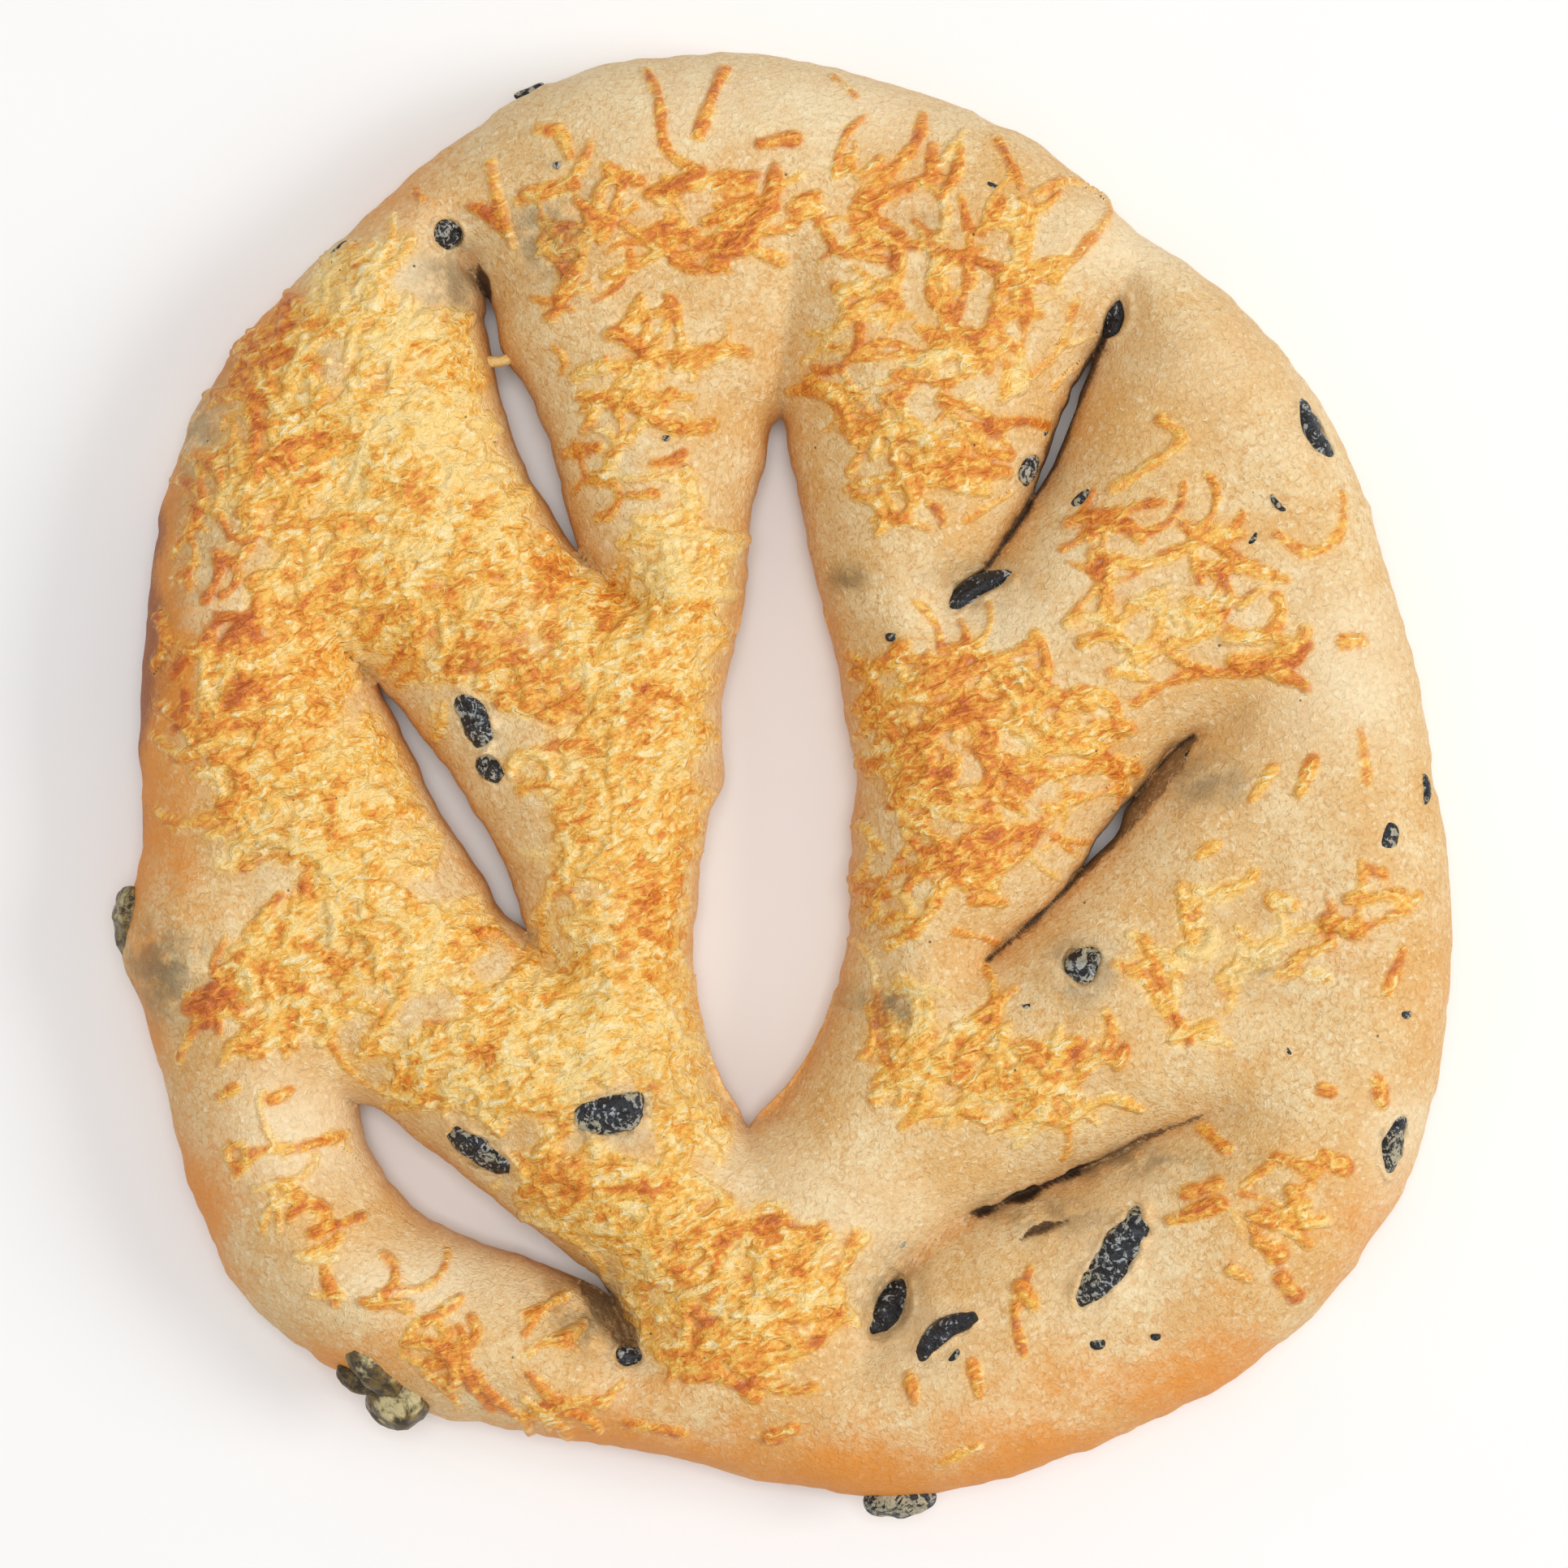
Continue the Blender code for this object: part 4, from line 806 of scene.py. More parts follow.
def dough_colour(t, grain):
    """Colour of the dough, toasted, floury, stained or torn as stored, with painted shade in the
    cracks, along the slash walls and on the left rim, and its stain and painted shade.
    """
    patches = t.step(t.noise(14, 6, 0.65), 0.32, 0.68)
    mottle = t.noise(2.4, 4, 0.6)
    colour = t.mix(patches, DOUGH_PALE, DOUGH_TAN)
    colour = t.mix(t.step(mottle, 0.42, 0.66, 0.0, 0.5), colour, DOUGH_TAN)
    colour = t.mix(t.step(grain, 0.50, 0.68, 0.0, 0.72), colour, DOUGH_PIT)
    colour = t.mix(t.step(grain, 0.45, 0.33, 0.0, 0.55), colour, DOUGH_FLOUR)
    # The stored toast also holds painted shade on the left rim and the slash walls.
    toast_and_shade = t.vary(t.vary(t.stored("toast_and_shade"), mottle, 0.5), grain, 0.6)
    colour = t.mix(t.step(toast_and_shade, 0.0, 1.05), colour, DOUGH_TOAST_AND_SHADE)
    colour = t.mix(t.step(toast_and_shade, 1.05, 1.75), colour, DOUGH_SCORCH_AND_SHADE)
    flour = t.maths("MULTIPLY", t.stored("flour"), t.step(mottle, 0.2, 0.6, 0.5, 1.0))
    colour = t.mix(flour, colour, DOUGH_FLOUR)
    # The stored stain also holds painted shade.
    stain_and_shade = t.maths("MULTIPLY", t.stored("stain_and_shade"), t.step(t.noise(3.4, 3), 0.3, 0.62))
    colour = t.mix(stain_and_shade, colour, DOUGH_STAIN_AND_SHADE)
    # Torn dough and, darkest, painted shade in the cracks.
    torn_and_shade = t.vary(t.stored("torn_and_shade"), grain, 0.7)
    colour = t.mix(t.step(torn_and_shade, 0.1, 0.5), colour, DOUGH_TORN_AND_SHADE)
    return t.mix(t.step(torn_and_shade, 0.6, 0.9), colour, DOUGH_CRACK_SHADE), stain_and_shade


def cheese_colour(t, grain, blotch, streak):
    """Melted cheese from cream to brown, with a painted highlight on its palest streaks."""
    golden = t.vary(t.vary(t.stored("tint"), t.noise(7.0, 3), 0.6), blotch, 0.8)
    golden = t.maths("ADD", golden, t.maths("MULTIPLY_ADD", streak, -1.5, 0.70))
    golden = t.vary(golden, grain, 0.24)
    cheese = t.ramp(golden, (0.14, CHEESE_CREAM), (0.42, CHEESE_YELLOW), (0.70, CHEESE_GOLD),
                    (1.08, CHEESE_BROWN))
    # Painted highlight on the palest streaks.
    painted_highlight = t.maths("MULTIPLY", t.step(streak, 0.54, 0.70), t.step(golden, 0.50, 0.10, 0.0, 0.85))
    return t.mix(painted_highlight, cheese, CHEESE_PAINTED_HIGHLIGHT)


def loaf_material():
    """Baked dough that turns into melted cheese where the stored share says so."""
    t = Tree("baked_dough_and_cheese")
    grain = t.noise(0.8, 3, 0.6, 1.0)
    blotch = t.noise(2.0, 3, 0.55)
    streak = t.noise(1.15, 3, 0.5, 1.3, t.along(LEAN, STREAK_STRETCH))
    dough, stain_and_shade = dough_colour(t, grain)
    share = t.vary(t.vary(t.stored("cheese"), streak, 0.9), blotch, 0.4)
    share = t.step(share, 0.05, 0.85, 0.0, 0.97)
    colour = t.mix(share, dough, cheese_colour(t, grain, blotch, streak))
    # Stains and painted shade show through the cheese as well.
    colour = t.mix(t.maths("MULTIPLY", stain_and_shade, 0.55), colour, DOUGH_STAIN_AND_SHADE)
    colour = t.mix(t.step(t.cells(8.0), 0.034, 0.02, 0.0, 0.8), colour, SPECK)
    normal = t.bump(blotch, 0.15, t.bump(grain, -0.35))
    normal = t.bump(streak, 0.5, normal, share)
    return t.finish(colour, t.maths("MULTIPLY_ADD", share, -0.26, 0.62), normal)


# Skins of the olives: size of the flecks and softness of their edges, then the colours of
# hollows and of ridges, which paint shade into the wrinkles, of flecks, and of flecks where the
# piece is veiled, which also paint the folded green piece's highlight.
OLIVE_SKINS = {
    "black_olive": (1.5, 0.035, linear(14, 15, 20), linear(40, 44, 52),
                    linear(178, 184, 188), linear(186, 176, 146)),
    "green_olive": (3.0, 0.14, linear(52, 40, 20), linear(120, 96, 48),
                    linear(158, 134, 74), linear(208, 192, 142)),
}


def olive_material(name, size, softness, deep, light, bloom, veil_and_painted_light):
    """Wrinkled olive skin with pale flecks, more of them where it is veiled, and painted shade
    that makes the wrinkles' hollows darker than their ridges.
    """
    t = Tree(name)
    wrinkle = t.noise(1.2 * size, 4, 0.65, 1.4)
    fine = t.noise(1.1 * size, 4, 0.65, 1.8)
    # Painted shade: the wrinkles' hollows darker than their ridges.
    colour = t.mix(t.step(wrinkle, 0.35, 0.65), deep, light)
    # The stored veil also holds the painted highlight and shade of the folded green piece.
    veiled_and_painted_light = t.stored("veil_and_painted_light")
    flecks = t.vary(fine, wrinkle, 0.6)
    flecks = t.maths("ADD", flecks, t.maths("MULTIPLY_ADD", veiled_and_painted_light, 0.17, -0.115))
    pale = t.mix(t.step(veiled_and_painted_light, 0.2, 0.9), bloom, veil_and_painted_light)
    colour = t.mix(t.step(flecks, 0.53 - softness, 0.53 + softness, 0.0, 0.92), colour, pale)
    normal = t.bump(flecks, 0.3, t.bump(wrinkle, 0.5))
    return t.finish(colour, t.step(flecks, 0.42, 0.6, 0.24, 0.62), normal)


# The cheese.

def ringed_faces(rings, sides):
    """Faces of a body of rings of points that ends in a single point at each end."""
    faces = [(0, 1 + (k + 1) % sides, 1 + k) for k in range(sides)]
    for r in range(rings - 1):
        near, far = 1 + r * sides, 1 + (r + 1) * sides
        for k in range(sides):
            n = (k + 1) % sides
            faces.append((near + k, near + n, far + n))
            faces.append((near + k, far + n, far + k))
    tail, last = 1 + (rings - 1) * sides, 1 + rings * sides
    faces += [(last, tail + k, tail + (k + 1) % sides) for k in range(sides)]
    return np.array(faces)


def smoothed(values, reach):
    """A running mean along a path, which keeps its length."""
    padded = np.concatenate([np.repeat(values[:1], reach, 0), values,
                             np.repeat(values[-1:], reach, 0)])
    window = 2 * reach + 1
    return np.array([padded[i:i + window].mean(axis=0) for i in range(len(values))])


class Ground:
    """The crust's top over a square grid of the plan, and the cheese that lies on it."""

    def __init__(self, loops):
        axes = [np.arange(-reach, reach, GRID_STEP) for reach in GRID_REACH]
        plan = np.stack(np.meshgrid(*axes, indexing="ij"), axis=-1)
        flat = plan.reshape(-1, 2)
        shape = plan.shape[:2]
        on = inside(flat, loops)
        distance = np.zeros(len(flat))
        distance[on] = edge_distance(flat[on])
        height = np.full(len(flat), EDGE_HEIGHT)
        height[on] = top_height(flat[on], distance[on])
        height[on] += crust_relief(flat[on], distance[on])
        self.on = on.reshape(shape)
        self.distance = distance.reshape(shape)
        self.spots = np.dstack([plan, height.reshape(shape)])
        slope_x, slope_y = np.gradient(self.spots[..., 2], GRID_STEP)
        normals = np.dstack([-slope_x, -slope_y, np.ones(shape)])
        self.normals = normals / np.linalg.norm(normals, axis=-1)[..., None]
        gap = np.min([segment_distance(flat, line) for line in SLASH_LINES[1:]], axis=0)
        clear = on & (gap > CREASE_CLEARANCE)
        for row in TOP_OLIVES.values():
            clear &= olive_share(flat, row, OLIVE_CLEARANCE) >= 1
        self.clear = clear.reshape(shape)
        self.height = np.zeros(shape)     # of the cheese over the crust
        self.share = np.zeros(shape)      # how much of the colour is cheese
        self.tint = np.full(shape, BARE_TINT)  # how browned the cheese is
        self.melt = np.zeros(shape)       # how far the cheese has run out

    def window(self, path, margin):
        """The grid cells around a path."""
        low = (path[:, :2].min(axis=0) - margin + GRID_REACH) / GRID_STEP
        high = (path[:, :2].max(axis=0) + margin + GRID_REACH) / GRID_STEP
        low = np.maximum(low.astype(int), 0)
        high = high.astype(int) + 2
        return slice(low[0], high[0]), slice(low[1], high[1])

    def lay(self, plan, widths, rise, tint, melt, rim_brown):
        """Melts one shred onto what lies there already."""
        path = read(self.spots, plan)
        lift = np.minimum(smoothed(read(self.height, plan), 2), MOST_LIFT) * PILING
        area = self.window(plan, max(widths.max() / 2, MELT_REACH) + 0.5)
        near = self.spots[area]
        share = np.full(near.shape[:2], np.inf)  # 1 at the shred's edge, 0 at its middle
        level = np.zeros(near.shape[:2])
        for i in range(len(path) - 1):
            along = path[i + 1] - path[i]
            off = near - path[i]
            t = np.clip(off @ along / max(along @ along, 1e-9), 0, 1)
            gap = np.linalg.norm(off - t[..., None] * along, axis=-1)
            found = gap / (widths[i] * (1 - t) + widths[i + 1] * t) * 2
            closer = found < share
            share = np.where(closer, found, share)
            level = np.where(closer, lift[i] * (1 - t) + lift[i + 1] * t, level)
        # The cap is 1 along the middle of the shred and 0 from its edge on.
        cap = np.clip(1 - share**2, 0, 1)
        new = rise * widths.mean() * cap**1.3 + level * smoothstep(cap, 0.0, 0.6)
        old = self.height[area]
        over = smoothstep(new - old, -0.20, 0.12) * (cap > 0)
        self.height[area] = np.maximum(old, new)
        rim = tint + rim_brown * (0.5 - cap)
        self.tint[area] = self.tint[area] * (1 - over) + rim * over
        strength = np.clip(0.35 + 0.8 * tint + 0.3 * melt, 0.5, 1)
        self.share[area] = np.maximum(self.share[area], strength * smoothstep(cap, 0.0, 0.7))
        reach = np.clip(1 - share * widths.mean() / 2 / MELT_REACH, 0, 1)
        self.melt[area] = np.maximum(self.melt[area], melt * np.maximum(reach, cap > 0))


def heaped_paths():
    """Plan paths of the shreds in the heaps: curls that bend one way or the other."""
    draw = random.Random(HEAP_SEED)
    rows = []
    for x, y, reach_x, reach_y, count, brown, melt in HEAPS:
        for _ in range(round(HEAPED_MORE * count)):
            turn, away = draw.uniform(0, 2 * math.pi), math.sqrt(draw.random())
            length = draw.uniform(*HEAPED_LENGTH)
            curl = draw.gauss(0, HEAPED_CURL)
            spot = np.array([x + reach_x * away * math.cos(turn),
                             y + reach_y * away * math.sin(turn)])
            sway = LEAN_SWAY * noise(spot[None], 34.0, 12)[0]
            heading = draw.gauss(LEAN, LEAN_SPREAD) + sway
            path = []
            for _ in range(int(length / SHRED_STEP) + 1):
                path.append(spot.copy())
                spot += SHRED_STEP * np.array([math.cos(heading), math.sin(heading)])
                heading += curl * SHRED_STEP
                curl += draw.gauss(0, CURL_CHANGE)
            tint = brown + draw.gauss(0, HEAPED_TINT_SPREAD)
            rise = draw.uniform(*HEAPED_HEIGHT)
            width = draw.uniform(*HEAPED_WIDTH)
            rows.append((np.array(path), width, rise, tint, melt, RIM_BROWN))
    draw.shuffle(rows)
    return rows


def laid_paths():
    """Plan paths of the shreds that lie apart."""
    draw = random.Random(LAID_SEED)
    rows = []
    groups = ((LAID_SHREDS, 0.8, 0.72, RIM_BROWN), (LOOSE_BITS, 1.05, 0.78, LOOSE_RIM_BROWN))
    for shreds, fullness, brown, rim_brown in groups:
        for width, *stations in shreds:
            line = catmull_rom([(*point, 0) for point in stations], SHRED_STEP)
            rise = draw.uniform(*LAID_HEIGHT)
            tint = brown + draw.uniform(-LAID_TINT_SPREAD, LAID_TINT_SPREAD)
            rows.append((line[:, :2], fullness * width, rise, tint, LAID_MELT, rim_brown))
    return rows


def unbroken(plan, ground):
    """The first stretch of a plan path that lies on open dough."""
    good = read(ground.clear.astype(float), plan) > 0.99
    if not good.any():
        return plan[:0]
    first = int(np.argmax(good))
    stop = np.flatnonzero(~good[first:])
    return plan[first:first + stop[0]] if len(stop) else plan[first:]


def lay_cheese(ground):
    """Lays every shred on the crust, one on the other."""
    draw = random.Random(WAVE_SEED)
    for plan, width, rise, tint, melt, rim_brown in heaped_paths() + laid_paths():
        plan = unbroken(plan, ground)
        if len(plan) * SHRED_STEP < LEAST_SHRED:
            continue
        wave, phase = draw.uniform(0.5, 1.2), draw.uniform(0, 6.28)
        widths = width * (1 + 0.2 * np.sin(np.arange(len(plan)) * wave + phase))
        ground.lay(plan, widths, rise, tint, melt, rim_brown)
    film = blurred(ground.melt, 1.0)
    ground.share = 0.5 * (ground.share + blurred(ground.share, 0.6))
    ground.share = np.maximum(ground.share, MOST_FILM * smoothstep(film, 0.05, 0.75))
    ground.tint = blurred(ground.tint, 0.2)


def build_cheese(ground, material, paint):
    """The cheese as sheets on the crust that dip under it where there is none."""
    some = ground.height > 0
    wide = some.copy()
    for shift in (-1, 1):
        wide |= np.roll(some, shift, 0) | np.roll(some, shift, 1)
    wide &= ground.on & (ground.distance > 0.15)
    corners = [wide[:-1, :-1], wide[1:, :-1], wide[1:, 1:], wide[:-1, 1:]]
    cells = np.argwhere(np.logical_and.reduce(corners))
    columns = wide.shape[1]
    first = cells @ (columns, 1)
    faces = np.column_stack([first, first + columns, first + columns + 1, first + 1])
    lift = ground.height - SINK
    points = (ground.spots + ground.normals * lift[..., None]).reshape(-1, 3)
    plan = ground.spots.reshape(-1, 3)[:, :2]
    points[:, :2] += uneven(plan, ground.distance.ravel()) - plan
    pieces = math.ceil(len(faces) / FACES_A_PIECE)
    for i, part in enumerate(np.array_split(faces, pieces)):
        used, index = np.unique(part, return_inverse=True)
        spots = points[used]
        made = make_piece(f"melted_cheese_{i + 1}", spots, index.reshape(-1, 4), material)
        paint(made, spots, np.ones(len(used), bool))


def build_string(material, paint):
    """The string of cheese that spans the upper left slash."""
    line = catmull_rom(STRING, STRING_STEP)
    along = np.gradient(line, axis=0)
    along /= np.linalg.norm(along, axis=1)[:, None]
    across = np.cross(along, (0, 0, 1))
    across /= np.linalg.norm(across, axis=1)[:, None]
    up = np.cross(across, along)
    angles = 2 * np.pi * np.arange(STRING_SIDES) / STRING_SIDES
    rings = [line[:1] - along[:1] * STRING_TIP]
    for spot, side, rise in zip(line, across, up):
        rings.append(spot + STRING_WIDTH / 2 * (np.cos(angles)[:, None] * side
                                                + np.sin(angles)[:, None] * rise))
    rings.append(line[-1:] + along[-1:] * STRING_TIP)
    points = np.vstack(rings)
    made = make_piece("cheese_string", points, ringed_faces(len(line), STRING_SIDES), material)
    paint(made, points, np.ones(len(points), bool))
    for name, value in (("cheese", 1.0), ("tint", 0.05), ("torn_and_shade", 0.0)):
        set_values(made, name, np.full(len(points), value))


# Where the crust is toasted, floury or stained, and where painted shade darkens it: x, y,
# reaches and strength.
TOASTED_AND_SHADED = [
    (94, -32, 9, 26, 0.25), (86, -66, 12, 16, 0.6), (62, -86, 22, 10, 0.9),
    (36, -99, 22, 12, 1.1), (8, -102, 26, 12, 1.15), (-26, -98, 26, 11, 1.15),
    (-64, -84, 14, 8, 0.9), (-86, -62, 9, 18, 1.15), (-94, -40, 7, 14, 1.2),
    (78, -22, 12, 10, 0.3), (60, -72, 12, 8, 0.3), (94, 2, 6, 22, 0.1),
    # The first two rows below, on the left rim, are darker than toasting alone would make them:
    # painted shade.
    (-94, 22, 9, 40, 2.2), (-96, -6, 8, 18, 1.6), (-80, 66, 11, 14, 1.2),
    (-60, 86, 14, 9, 0.8), (40, -86, 14, 9, 0.5), (90, 30, 6, 18, 0.2),
    (-14, 82, 14, 8, 0.35), (16, 82, 14, 8, 0.3), (24, 8, 14, 14, 0.3),
]
WALL_REACH = 3.0         # how far the toasted walls of a slash, darkened also as painted shade, reach onto the dough
WALL_TOAST_AND_SHADE = 0.35
LOW_HEIGHTS = (6.5, 12.0)    # between these heights the toasted foot fades out
LOW_TOAST = 0.2
FLOURED = [
    (48, 78, 12, 9, 0.6), (80, 16, 12, 14, 0.55), (44, 30, 8, 5, 0.4), (-68, -50, 10, 10, 0.7),
    (-54, 72, 8, 7, 0.5), (-52, -70, 14, 7, 0.7), (10, -62, 14, 8, 0.35), (-4, -54, 10, 6, 0.35),
    (86, -50, 6, 9, 0.5), (46, -67, 8, 10, 0.4), (30, 24, 9, 6, 0.5), (0, 97, 34, 7, 0.6),
    (76, 52, 6, 8, 0.4), (60, 60, 12, 8, 0.25), (20, -78, 10, 8, 0.35),
]
STAINED_AND_SHADED = [
    # Of the rows below, those at (-28, -75.5), (-47, 70), (-84, 52), (36, -61.4) and (51, -53.6)
    # are painted shade of a slash wall, a cavity, the left rim and crease valleys; the rest are
    # stains.
    (-28, -75.5, 6.5, 5.0, 0.75), (-47, 70, 3.4, 6, 0.6), (-84, 52, 7, 24, 0.35),
    (36, -61.4, 9, 2.6, 0.4), (51, -53.6, 11, 2.4, 0.5), (59, 0, 5, 4, 0.5),
    (-22, -44, 9, 7, 0.35), (-32.3, 77.8, 5, 6, 0.8), (15, -31.6, 5, 3, 0.75),
    (-74.4, -9.4, 5, 3, 0.45), (66.5, -26.4, 4, 3.6, 0.6), (-87.2, -26.4, 5, 6, 0.7),
    (-26, -46, 7, 6, 0.45), (42.6, -26.4, 4.6, 4.4, 0.5), (15, -74, 5, 6, 0.5),
    (26, 28, 6, 4, 0.3), (9.2, 29.2, 3, 2.4, 0.7), (19, 48, 3, 2, 0.3),
    (20.6, 78, 3, 3, 0.35),
]


def blotches(points, rows, ragged, seed):
    """The strength of soft patches with uneven edges."""
    total = np.zeros(len(points))
    wobble = 1 + ragged * noise(points, 6.0, seed)
    for x, y, reach_x, reach_y, strength in rows:
        away = np.hypot((points[:, 0] - x) / reach_x, (points[:, 1] - y) / reach_y) * wobble
        total = np.maximum(total, strength * np.exp(-1.2 * away**2))
    return total


def torn_and_shade_share(points):
    """How far each point lies in the torn dough of a slash or of a tear, and in the painted
    shade of its crack.
    """
    torn_and_shade = np.zeros(len(points))
    ragged = 0.4 * noise(points, 1.3, 8) + 0.6 * noise(points, 4.0, 9)
    for name, width in TORN_AND_SHADE_WIDTHS.items():
        line = torn_slash(name)
        line[:, 2] = np.maximum(line[:, 2], 0)
        gap = segment_distance(points, line) / width
        torn_and_shade = np.maximum(torn_and_shade, 0.45 * smoothstep(1.0 - gap + 0.7 * ragged, 0.0, 0.6))
        line[:, 2] *= -2
        gap = segment_distance(points, line) / width
        torn_and_shade = np.maximum(torn_and_shade, 1.1 * smoothstep(0.5 - gap + 0.25 * ragged, 0.0, 0.4))
    return np.maximum(torn_and_shade, tear_share(points)[0])


def olive_halo(points):
    """A pale rim in the dough around every olive piece."""
    halo = np.zeros(len(points))
    for row in TOP_OLIVES.values():
        share = olive_share(points, row, OLIVE_GAP)
        halo = np.maximum(halo, 0.25 * np.exp(-(((share - 1.25) / 0.3) ** 2)))
    return halo


def slash_gap(points):
    """Distance to the nearest slash, below zero over its opening."""
    return np.min([segment_distance(points, line) for line in SLASH_LINES], axis=0)


def painter(ground):
    """A function that stores on a piece where it is cheese, toasted, floury or stained, and
    where painted shade darkens it.
    """

    def paint(piece, points, on_top):
        share = read(ground.share, points)
        if piece.name.startswith("crust"):
            share = np.minimum(share, MOST_FILM)
        low = 1 - smoothstep(points[:, 2], *LOW_HEIGHTS)
        # Painted shade, with some toasting, on the walls of the slashes.
        wall_toast_and_shade = smoothstep(-slash_gap(points), -WALL_REACH, 0.0)
        toast_and_shade = blotches(points, TOASTED_AND_SHADED, 0.3, 31) + LOW_TOAST * low + WALL_TOAST_AND_SHADE * wall_toast_and_shade
        flour = np.maximum(blotches(points, FLOURED, 0.3, 32), olive_halo(points))
        stain_and_shade = blotches(points, STAINED_AND_SHADED, 0.35, 33)
        set_values(piece, "tint", read(ground.tint, points))
        set_values(piece, "toast_and_shade", toast_and_shade)
        of_top = {"cheese": share, "flour": flour, "stain_and_shade": stain_and_shade, "torn_and_shade": torn_and_shade_share(points)}
        for name, values in of_top.items():
            set_values(piece, name, values * on_top)

    return paint


# The olives.

def lobe_points(size, bend, seed, ring_count, side_count):
    """Points of a rounded piece along x, with a crease along its top and wrinkles."""
    length, width, thickness = size
    end_shift = 0.6 * bend * length
    points = [(-length / 2, end_shift, 0)]
    for r in range(1, ring_count):
        turn = math.pi * r / ring_count
        along = -math.cos(turn)
        girth = math.sin(turn) ** OLIVE_FULLNESS
        shift = bend * length * (along**2 - 0.4)
        for k in range(side_count):
            angle = 2 * math.pi * (k + 0.5) / side_count
            across, up = math.cos(angle), math.sin(angle)
            crease = 1 - OLIVE_CREASE * max(up, 0) ** 6
            points.append((along * length / 2, across * girth * width / 2 + shift,
                           up * girth * thickness / 2 * crease))
    points.append((length / 2, end_shift, 0))
    points = np.array(points)
    outward = points * (0.3, 1, 1)
    outward /= np.linalg.norm(outward, axis=1)[:, None] + 1e-6
    folded = points[:, [0, 1]] + points[:, [2, 2]] * (0.6, 0.9)
    fullness = min(1.0, width / 4)
    wrinkle = 0.24 * noise(folded, 1.5, seed) + 0.14 * noise(folded, 0.8, seed + 1)
    wrinkle += 0.36 * noise(folded, 3.2, seed + 2)
    return points + outward * (fullness * wrinkle)[:, None]


def placed_lobe(centre, size, heading, normal, bend, seed, ring_count, side_count):
    """One rounded piece, turned to its heading and laid square to its normal."""
    up = np.array(normal) / np.linalg.norm(normal)
    turn = math.radians(heading)
    along = np.array([math.cos(turn), math.sin(turn), 0])
    along -= up * (along @ up)
    along /= np.linalg.norm(along)
    axes = np.array([along, np.cross(up, along), up])
    return centre + lobe_points(size, bend, seed, ring_count, side_count) @ axes


def surface_normal(spot, step=0.8):
    """Unit normal of the dough's top at one spot."""
    around = spot + np.array([(step, 0), (-step, 0), (0, step), (0, -step)])
    heights = top_height(around, edge_distance(around))
    normal = np.array([heights[1] - heights[0], heights[3] - heights[2], 2 * step])
    return normal / np.linalg.norm(normal)


def top_piece(row):
    """Centre, size, heading, normal and bend of a piece set in the top."""
    x, y, length, width, thickness, heading, sunk, bend, _ = row
    spot = np.array([[x, y]], float)
    normal = surface_normal(spot)
    height = top_height(spot, edge_distance(spot))[0]
    centre = np.array([x, y, height]) - normal * sunk
    return centre, (length, width, thickness), heading, normal, bend


def side_piece(row, upward_share, bend):
    """The same for a piece in the side, which faces outward and partly upward."""
    x, y, z, length, width, thickness, heading, *_ = row
    outward = np.array([x, y, 0]) / math.hypot(x, y)
    normal = outward + [0, 0, upward_share]
    return np.array([x, y, z]), (length, width, thickness), heading, normal, bend


def olive_veil_and_painted_light(made, name):
    """How far each point of an olive is veiled: most at its rim, and unevenly. On the folded
    piece the same number paints light and shade instead.
    """
    spots = np.array([vert.co for vert in made.data.vertices]) / MM
    uneven_share = 0.35 * noise(spots, 2.4, 71)
    if name in TOP_OLIVES:
        rim = smoothstep(olive_share(spots, TOP_OLIVES[name], 0.0), 0.65, 1.0)
        return TOP_OLIVES[name][-1] + uneven_share + 0.25 * rim
    if name in SIDE_OLIVES:
        return SIDE_OLIVES[name][-1] + uneven_share
    # The folded piece is painted pale and shiny where it faces up, a painted highlight, and dark
    # along its rims, a painted shade.
    facing = np.array([vert.normal.z for vert in made.data.vertices])
    return -0.7 + 2.2 * smoothstep(facing + 0.4 * noise(spots, 2.6, 73), 0.55, 1.1)


def build_olives():
    skins = {slot: olive_material(f"{slot}_skin", *look) for slot, look in OLIVE_SKINS.items()}
    rows = [(name, top_piece(row)) for name, row in TOP_OLIVES.items()]
    rows += [(name, side_piece(row, 0.6, 0.0)) for name, row in SIDE_OLIVES.items()]
    pieces = [(f"{name}_skin", name, piece, 40 + 2 * i) for i, (name, piece) in enumerate(rows)]
    for i, row in enumerate(CURL_LOBES):
        pieces.append((f"green_olive_curl_{i}", "green_olive_curl",
                       side_piece(row, 1.6, 0.06), 90 + 2 * i))
    faces = ringed_faces(OLIVE_RINGS - 1, OLIVE_SIDES)
    for name, node, piece, seed in pieces:
        slot = "green_olive" if node.startswith("green") else "black_olive"
        points = placed_lobe(*piece, seed, OLIVE_RINGS, OLIVE_SIDES)
        made = make_piece(name, points, faces, skins[slot])
        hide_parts(node)
        set_values(made, "veil_and_painted_light", olive_veil_and_painted_light(made, node))
    build_chips(skins["black_olive"])


def build_chips(material):
    """Small chips and specks of olive, as one piece."""
    points, faces, start = [], [], 0
    for i, (x, y, length, width, thickness, heading, sunk) in enumerate(CHIPS):
        row = (x, y, length, width, thickness, heading, sunk * thickness, CHIP_BEND, CHIP_VEIL)
        spots = placed_lobe(*top_piece(row), 200 + 3 * i, CHIP_RINGS, CHIP_SIDES)
        points.append(spots)
        faces.append(ringed_faces(CHIP_RINGS - 1, CHIP_SIDES) + start)
        start += len(spots)
    made = make_piece("olive_chips", np.vstack(points), np.vstack(faces), material)
    set_values(made, "veil_and_painted_light", np.full(start, CHIP_VEIL))


# Floor, light and camera.

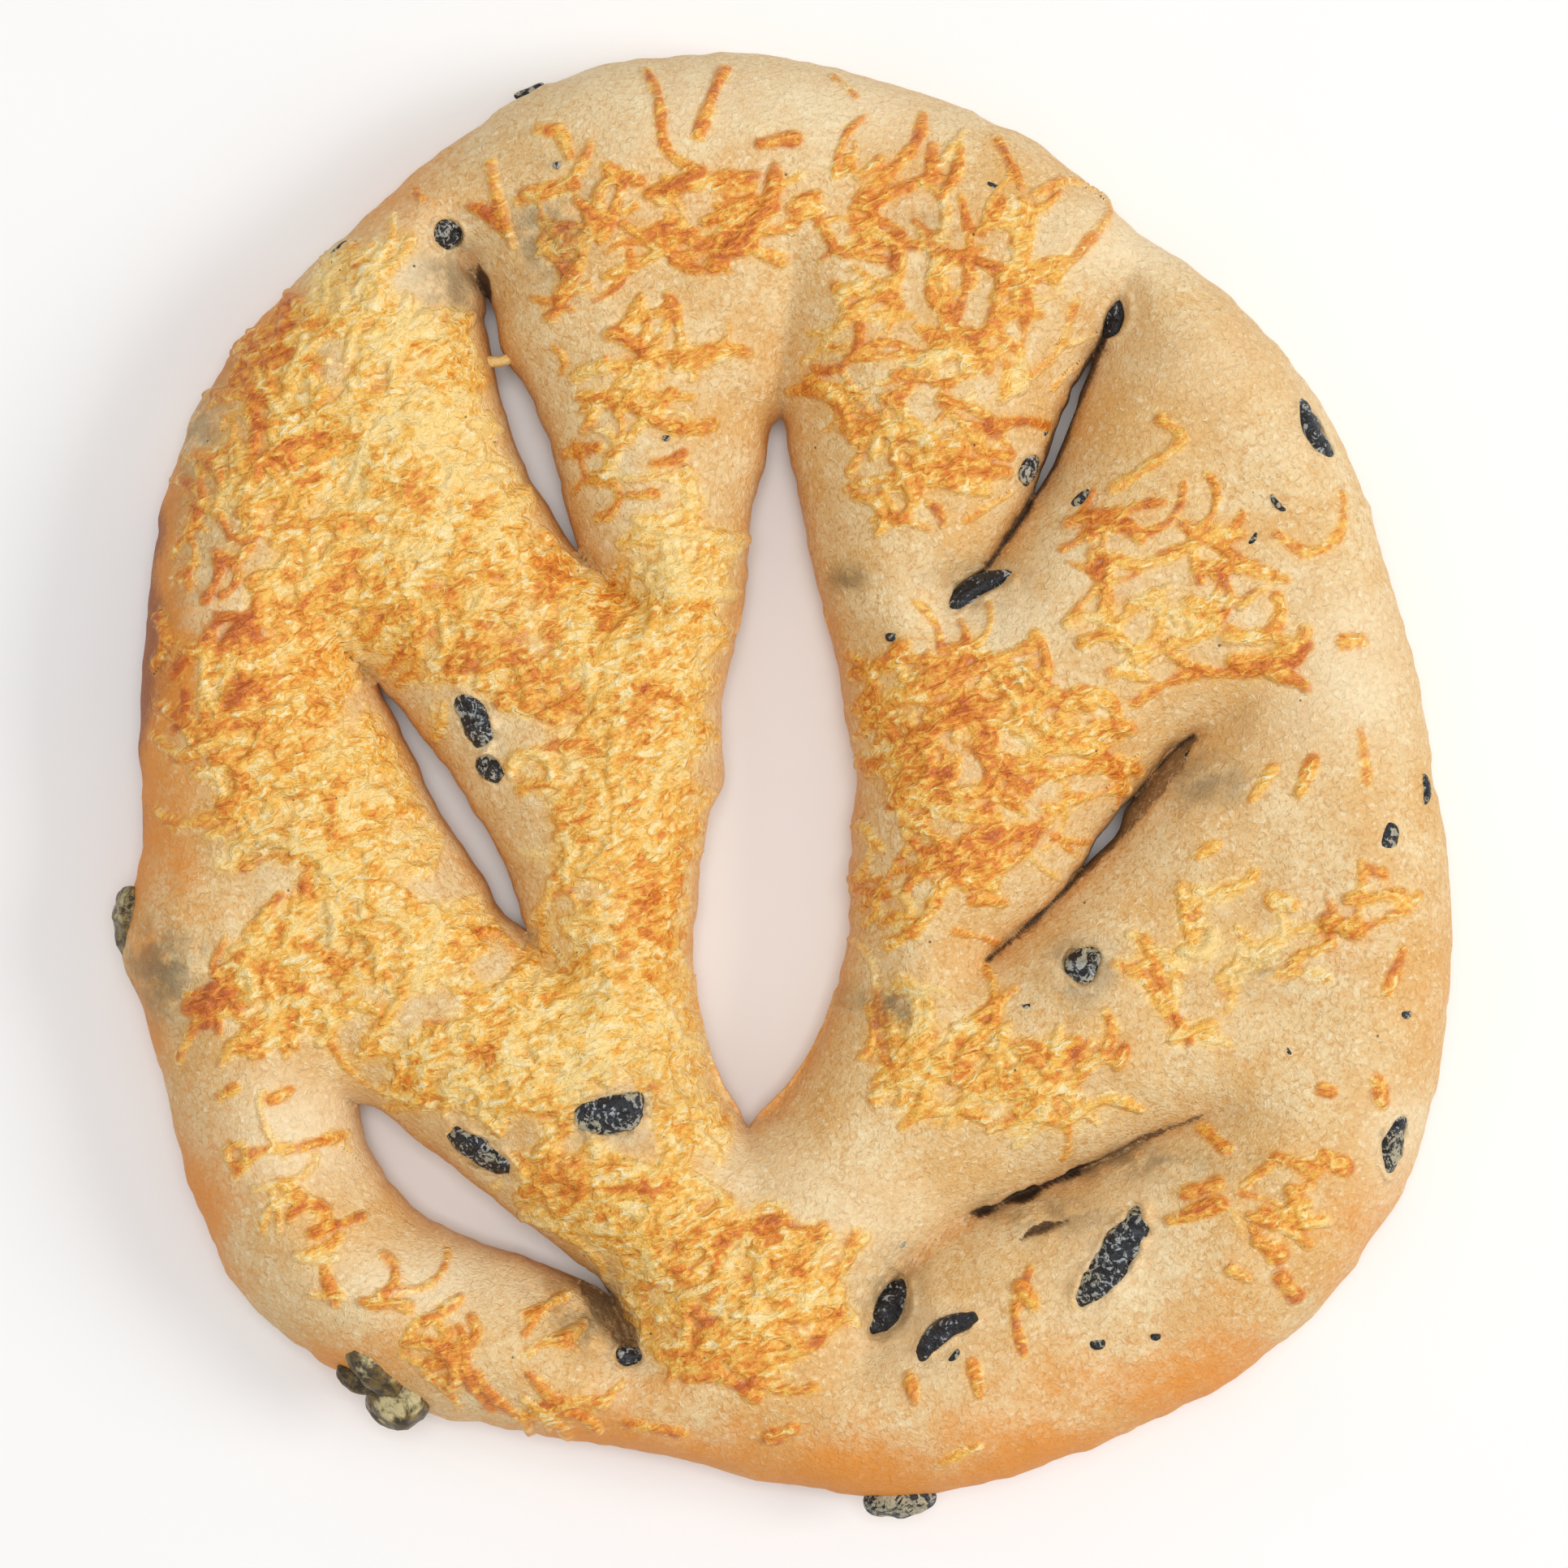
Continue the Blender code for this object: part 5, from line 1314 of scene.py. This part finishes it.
PHOTO_WIDTH = 225.1       # width of the picture at the loaf's middle height
CAMERA_HEIGHT = 700.0
MIDDLE_HEIGHT = 12.0
SENSOR = 36.0
FLOOR_SIZE = 3.0          # in metres, as the places and sizes of the lights are
FLOOR_DROP = 0.0002
# Lights: place, size, watts and colour.
LIGHTS = {
    "window": ((2.1, 0.0, 1.6), 1.1, 27.5, (1.0, 0.98, 0.95)),
    "overhead": ((0.05, 0.1, 2.2), 0.8, 20.0, (1.0, 1.0, 1.0)),
}
WORLD_STRENGTH = 0.42


def add_stage():
    bpy.ops.mesh.primitive_plane_add(size=FLOOR_SIZE, location=(0, 0, -FLOOR_DROP))
    floor = bpy.context.object
    floor.name = "floor"
    t = Tree("pale_floor")
    colour = t.mix(t.noise(60, 2), linear(246, 246, 246), linear(250, 250, 250))
    floor.data.materials.append(t.finish(colour, 0.8, t.bump(t.noise(2.0), 0.01)))


def add_area_light(name, place, size, power, colour):
    data = bpy.data.lights.new(name, "AREA")
    data.size = size
    data.energy = power
    data.color = colour
    light = bpy.data.objects.new(name, data)
    light.location = place
    light.rotation_euler = (-Vector(place)).to_track_quat("-Z", "Y").to_euler()
    bpy.context.scene.collection.objects.link(light)


def add_light_and_camera():
    for name, light in LIGHTS.items():
        add_area_light(name, *light)
    world = bpy.data.worlds.new("studio")
    world.use_nodes = True
    background = world.node_tree.nodes["Background"]
    background.inputs["Color"].default_value = (1, 1, 1, 1)
    background.inputs["Strength"].default_value = WORLD_STRENGTH
    bpy.context.scene.world = world
    data = bpy.data.cameras.new("camera")
    data.sensor_width = SENSOR
    data.lens = SENSOR * CAMERA_HEIGHT / PHOTO_WIDTH
    camera = bpy.data.objects.new("camera", data)
    camera.location = (0, 0, (CAMERA_HEIGHT + MIDDLE_HEIGHT) * MM)
    bpy.context.scene.collection.objects.link(camera)
    bpy.context.scene.camera = camera
    bpy.context.scene.view_settings.view_transform = "Standard"


def main():
    add_stage()
    add_light_and_camera()
    loops = plan_loops()
    points, faces, top_count = build_crust(loops)
    ground = Ground(loops)
    lay_cheese(ground)
    material, paint = loaf_material(), painter(ground)
    crust = make_piece("crust_skin", points, faces, material)
    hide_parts("crust")
    paint(crust, points, np.arange(len(points)) < top_count)
    build_cheese(ground, material, paint)
    build_string(material, paint)
    build_olives()


main()
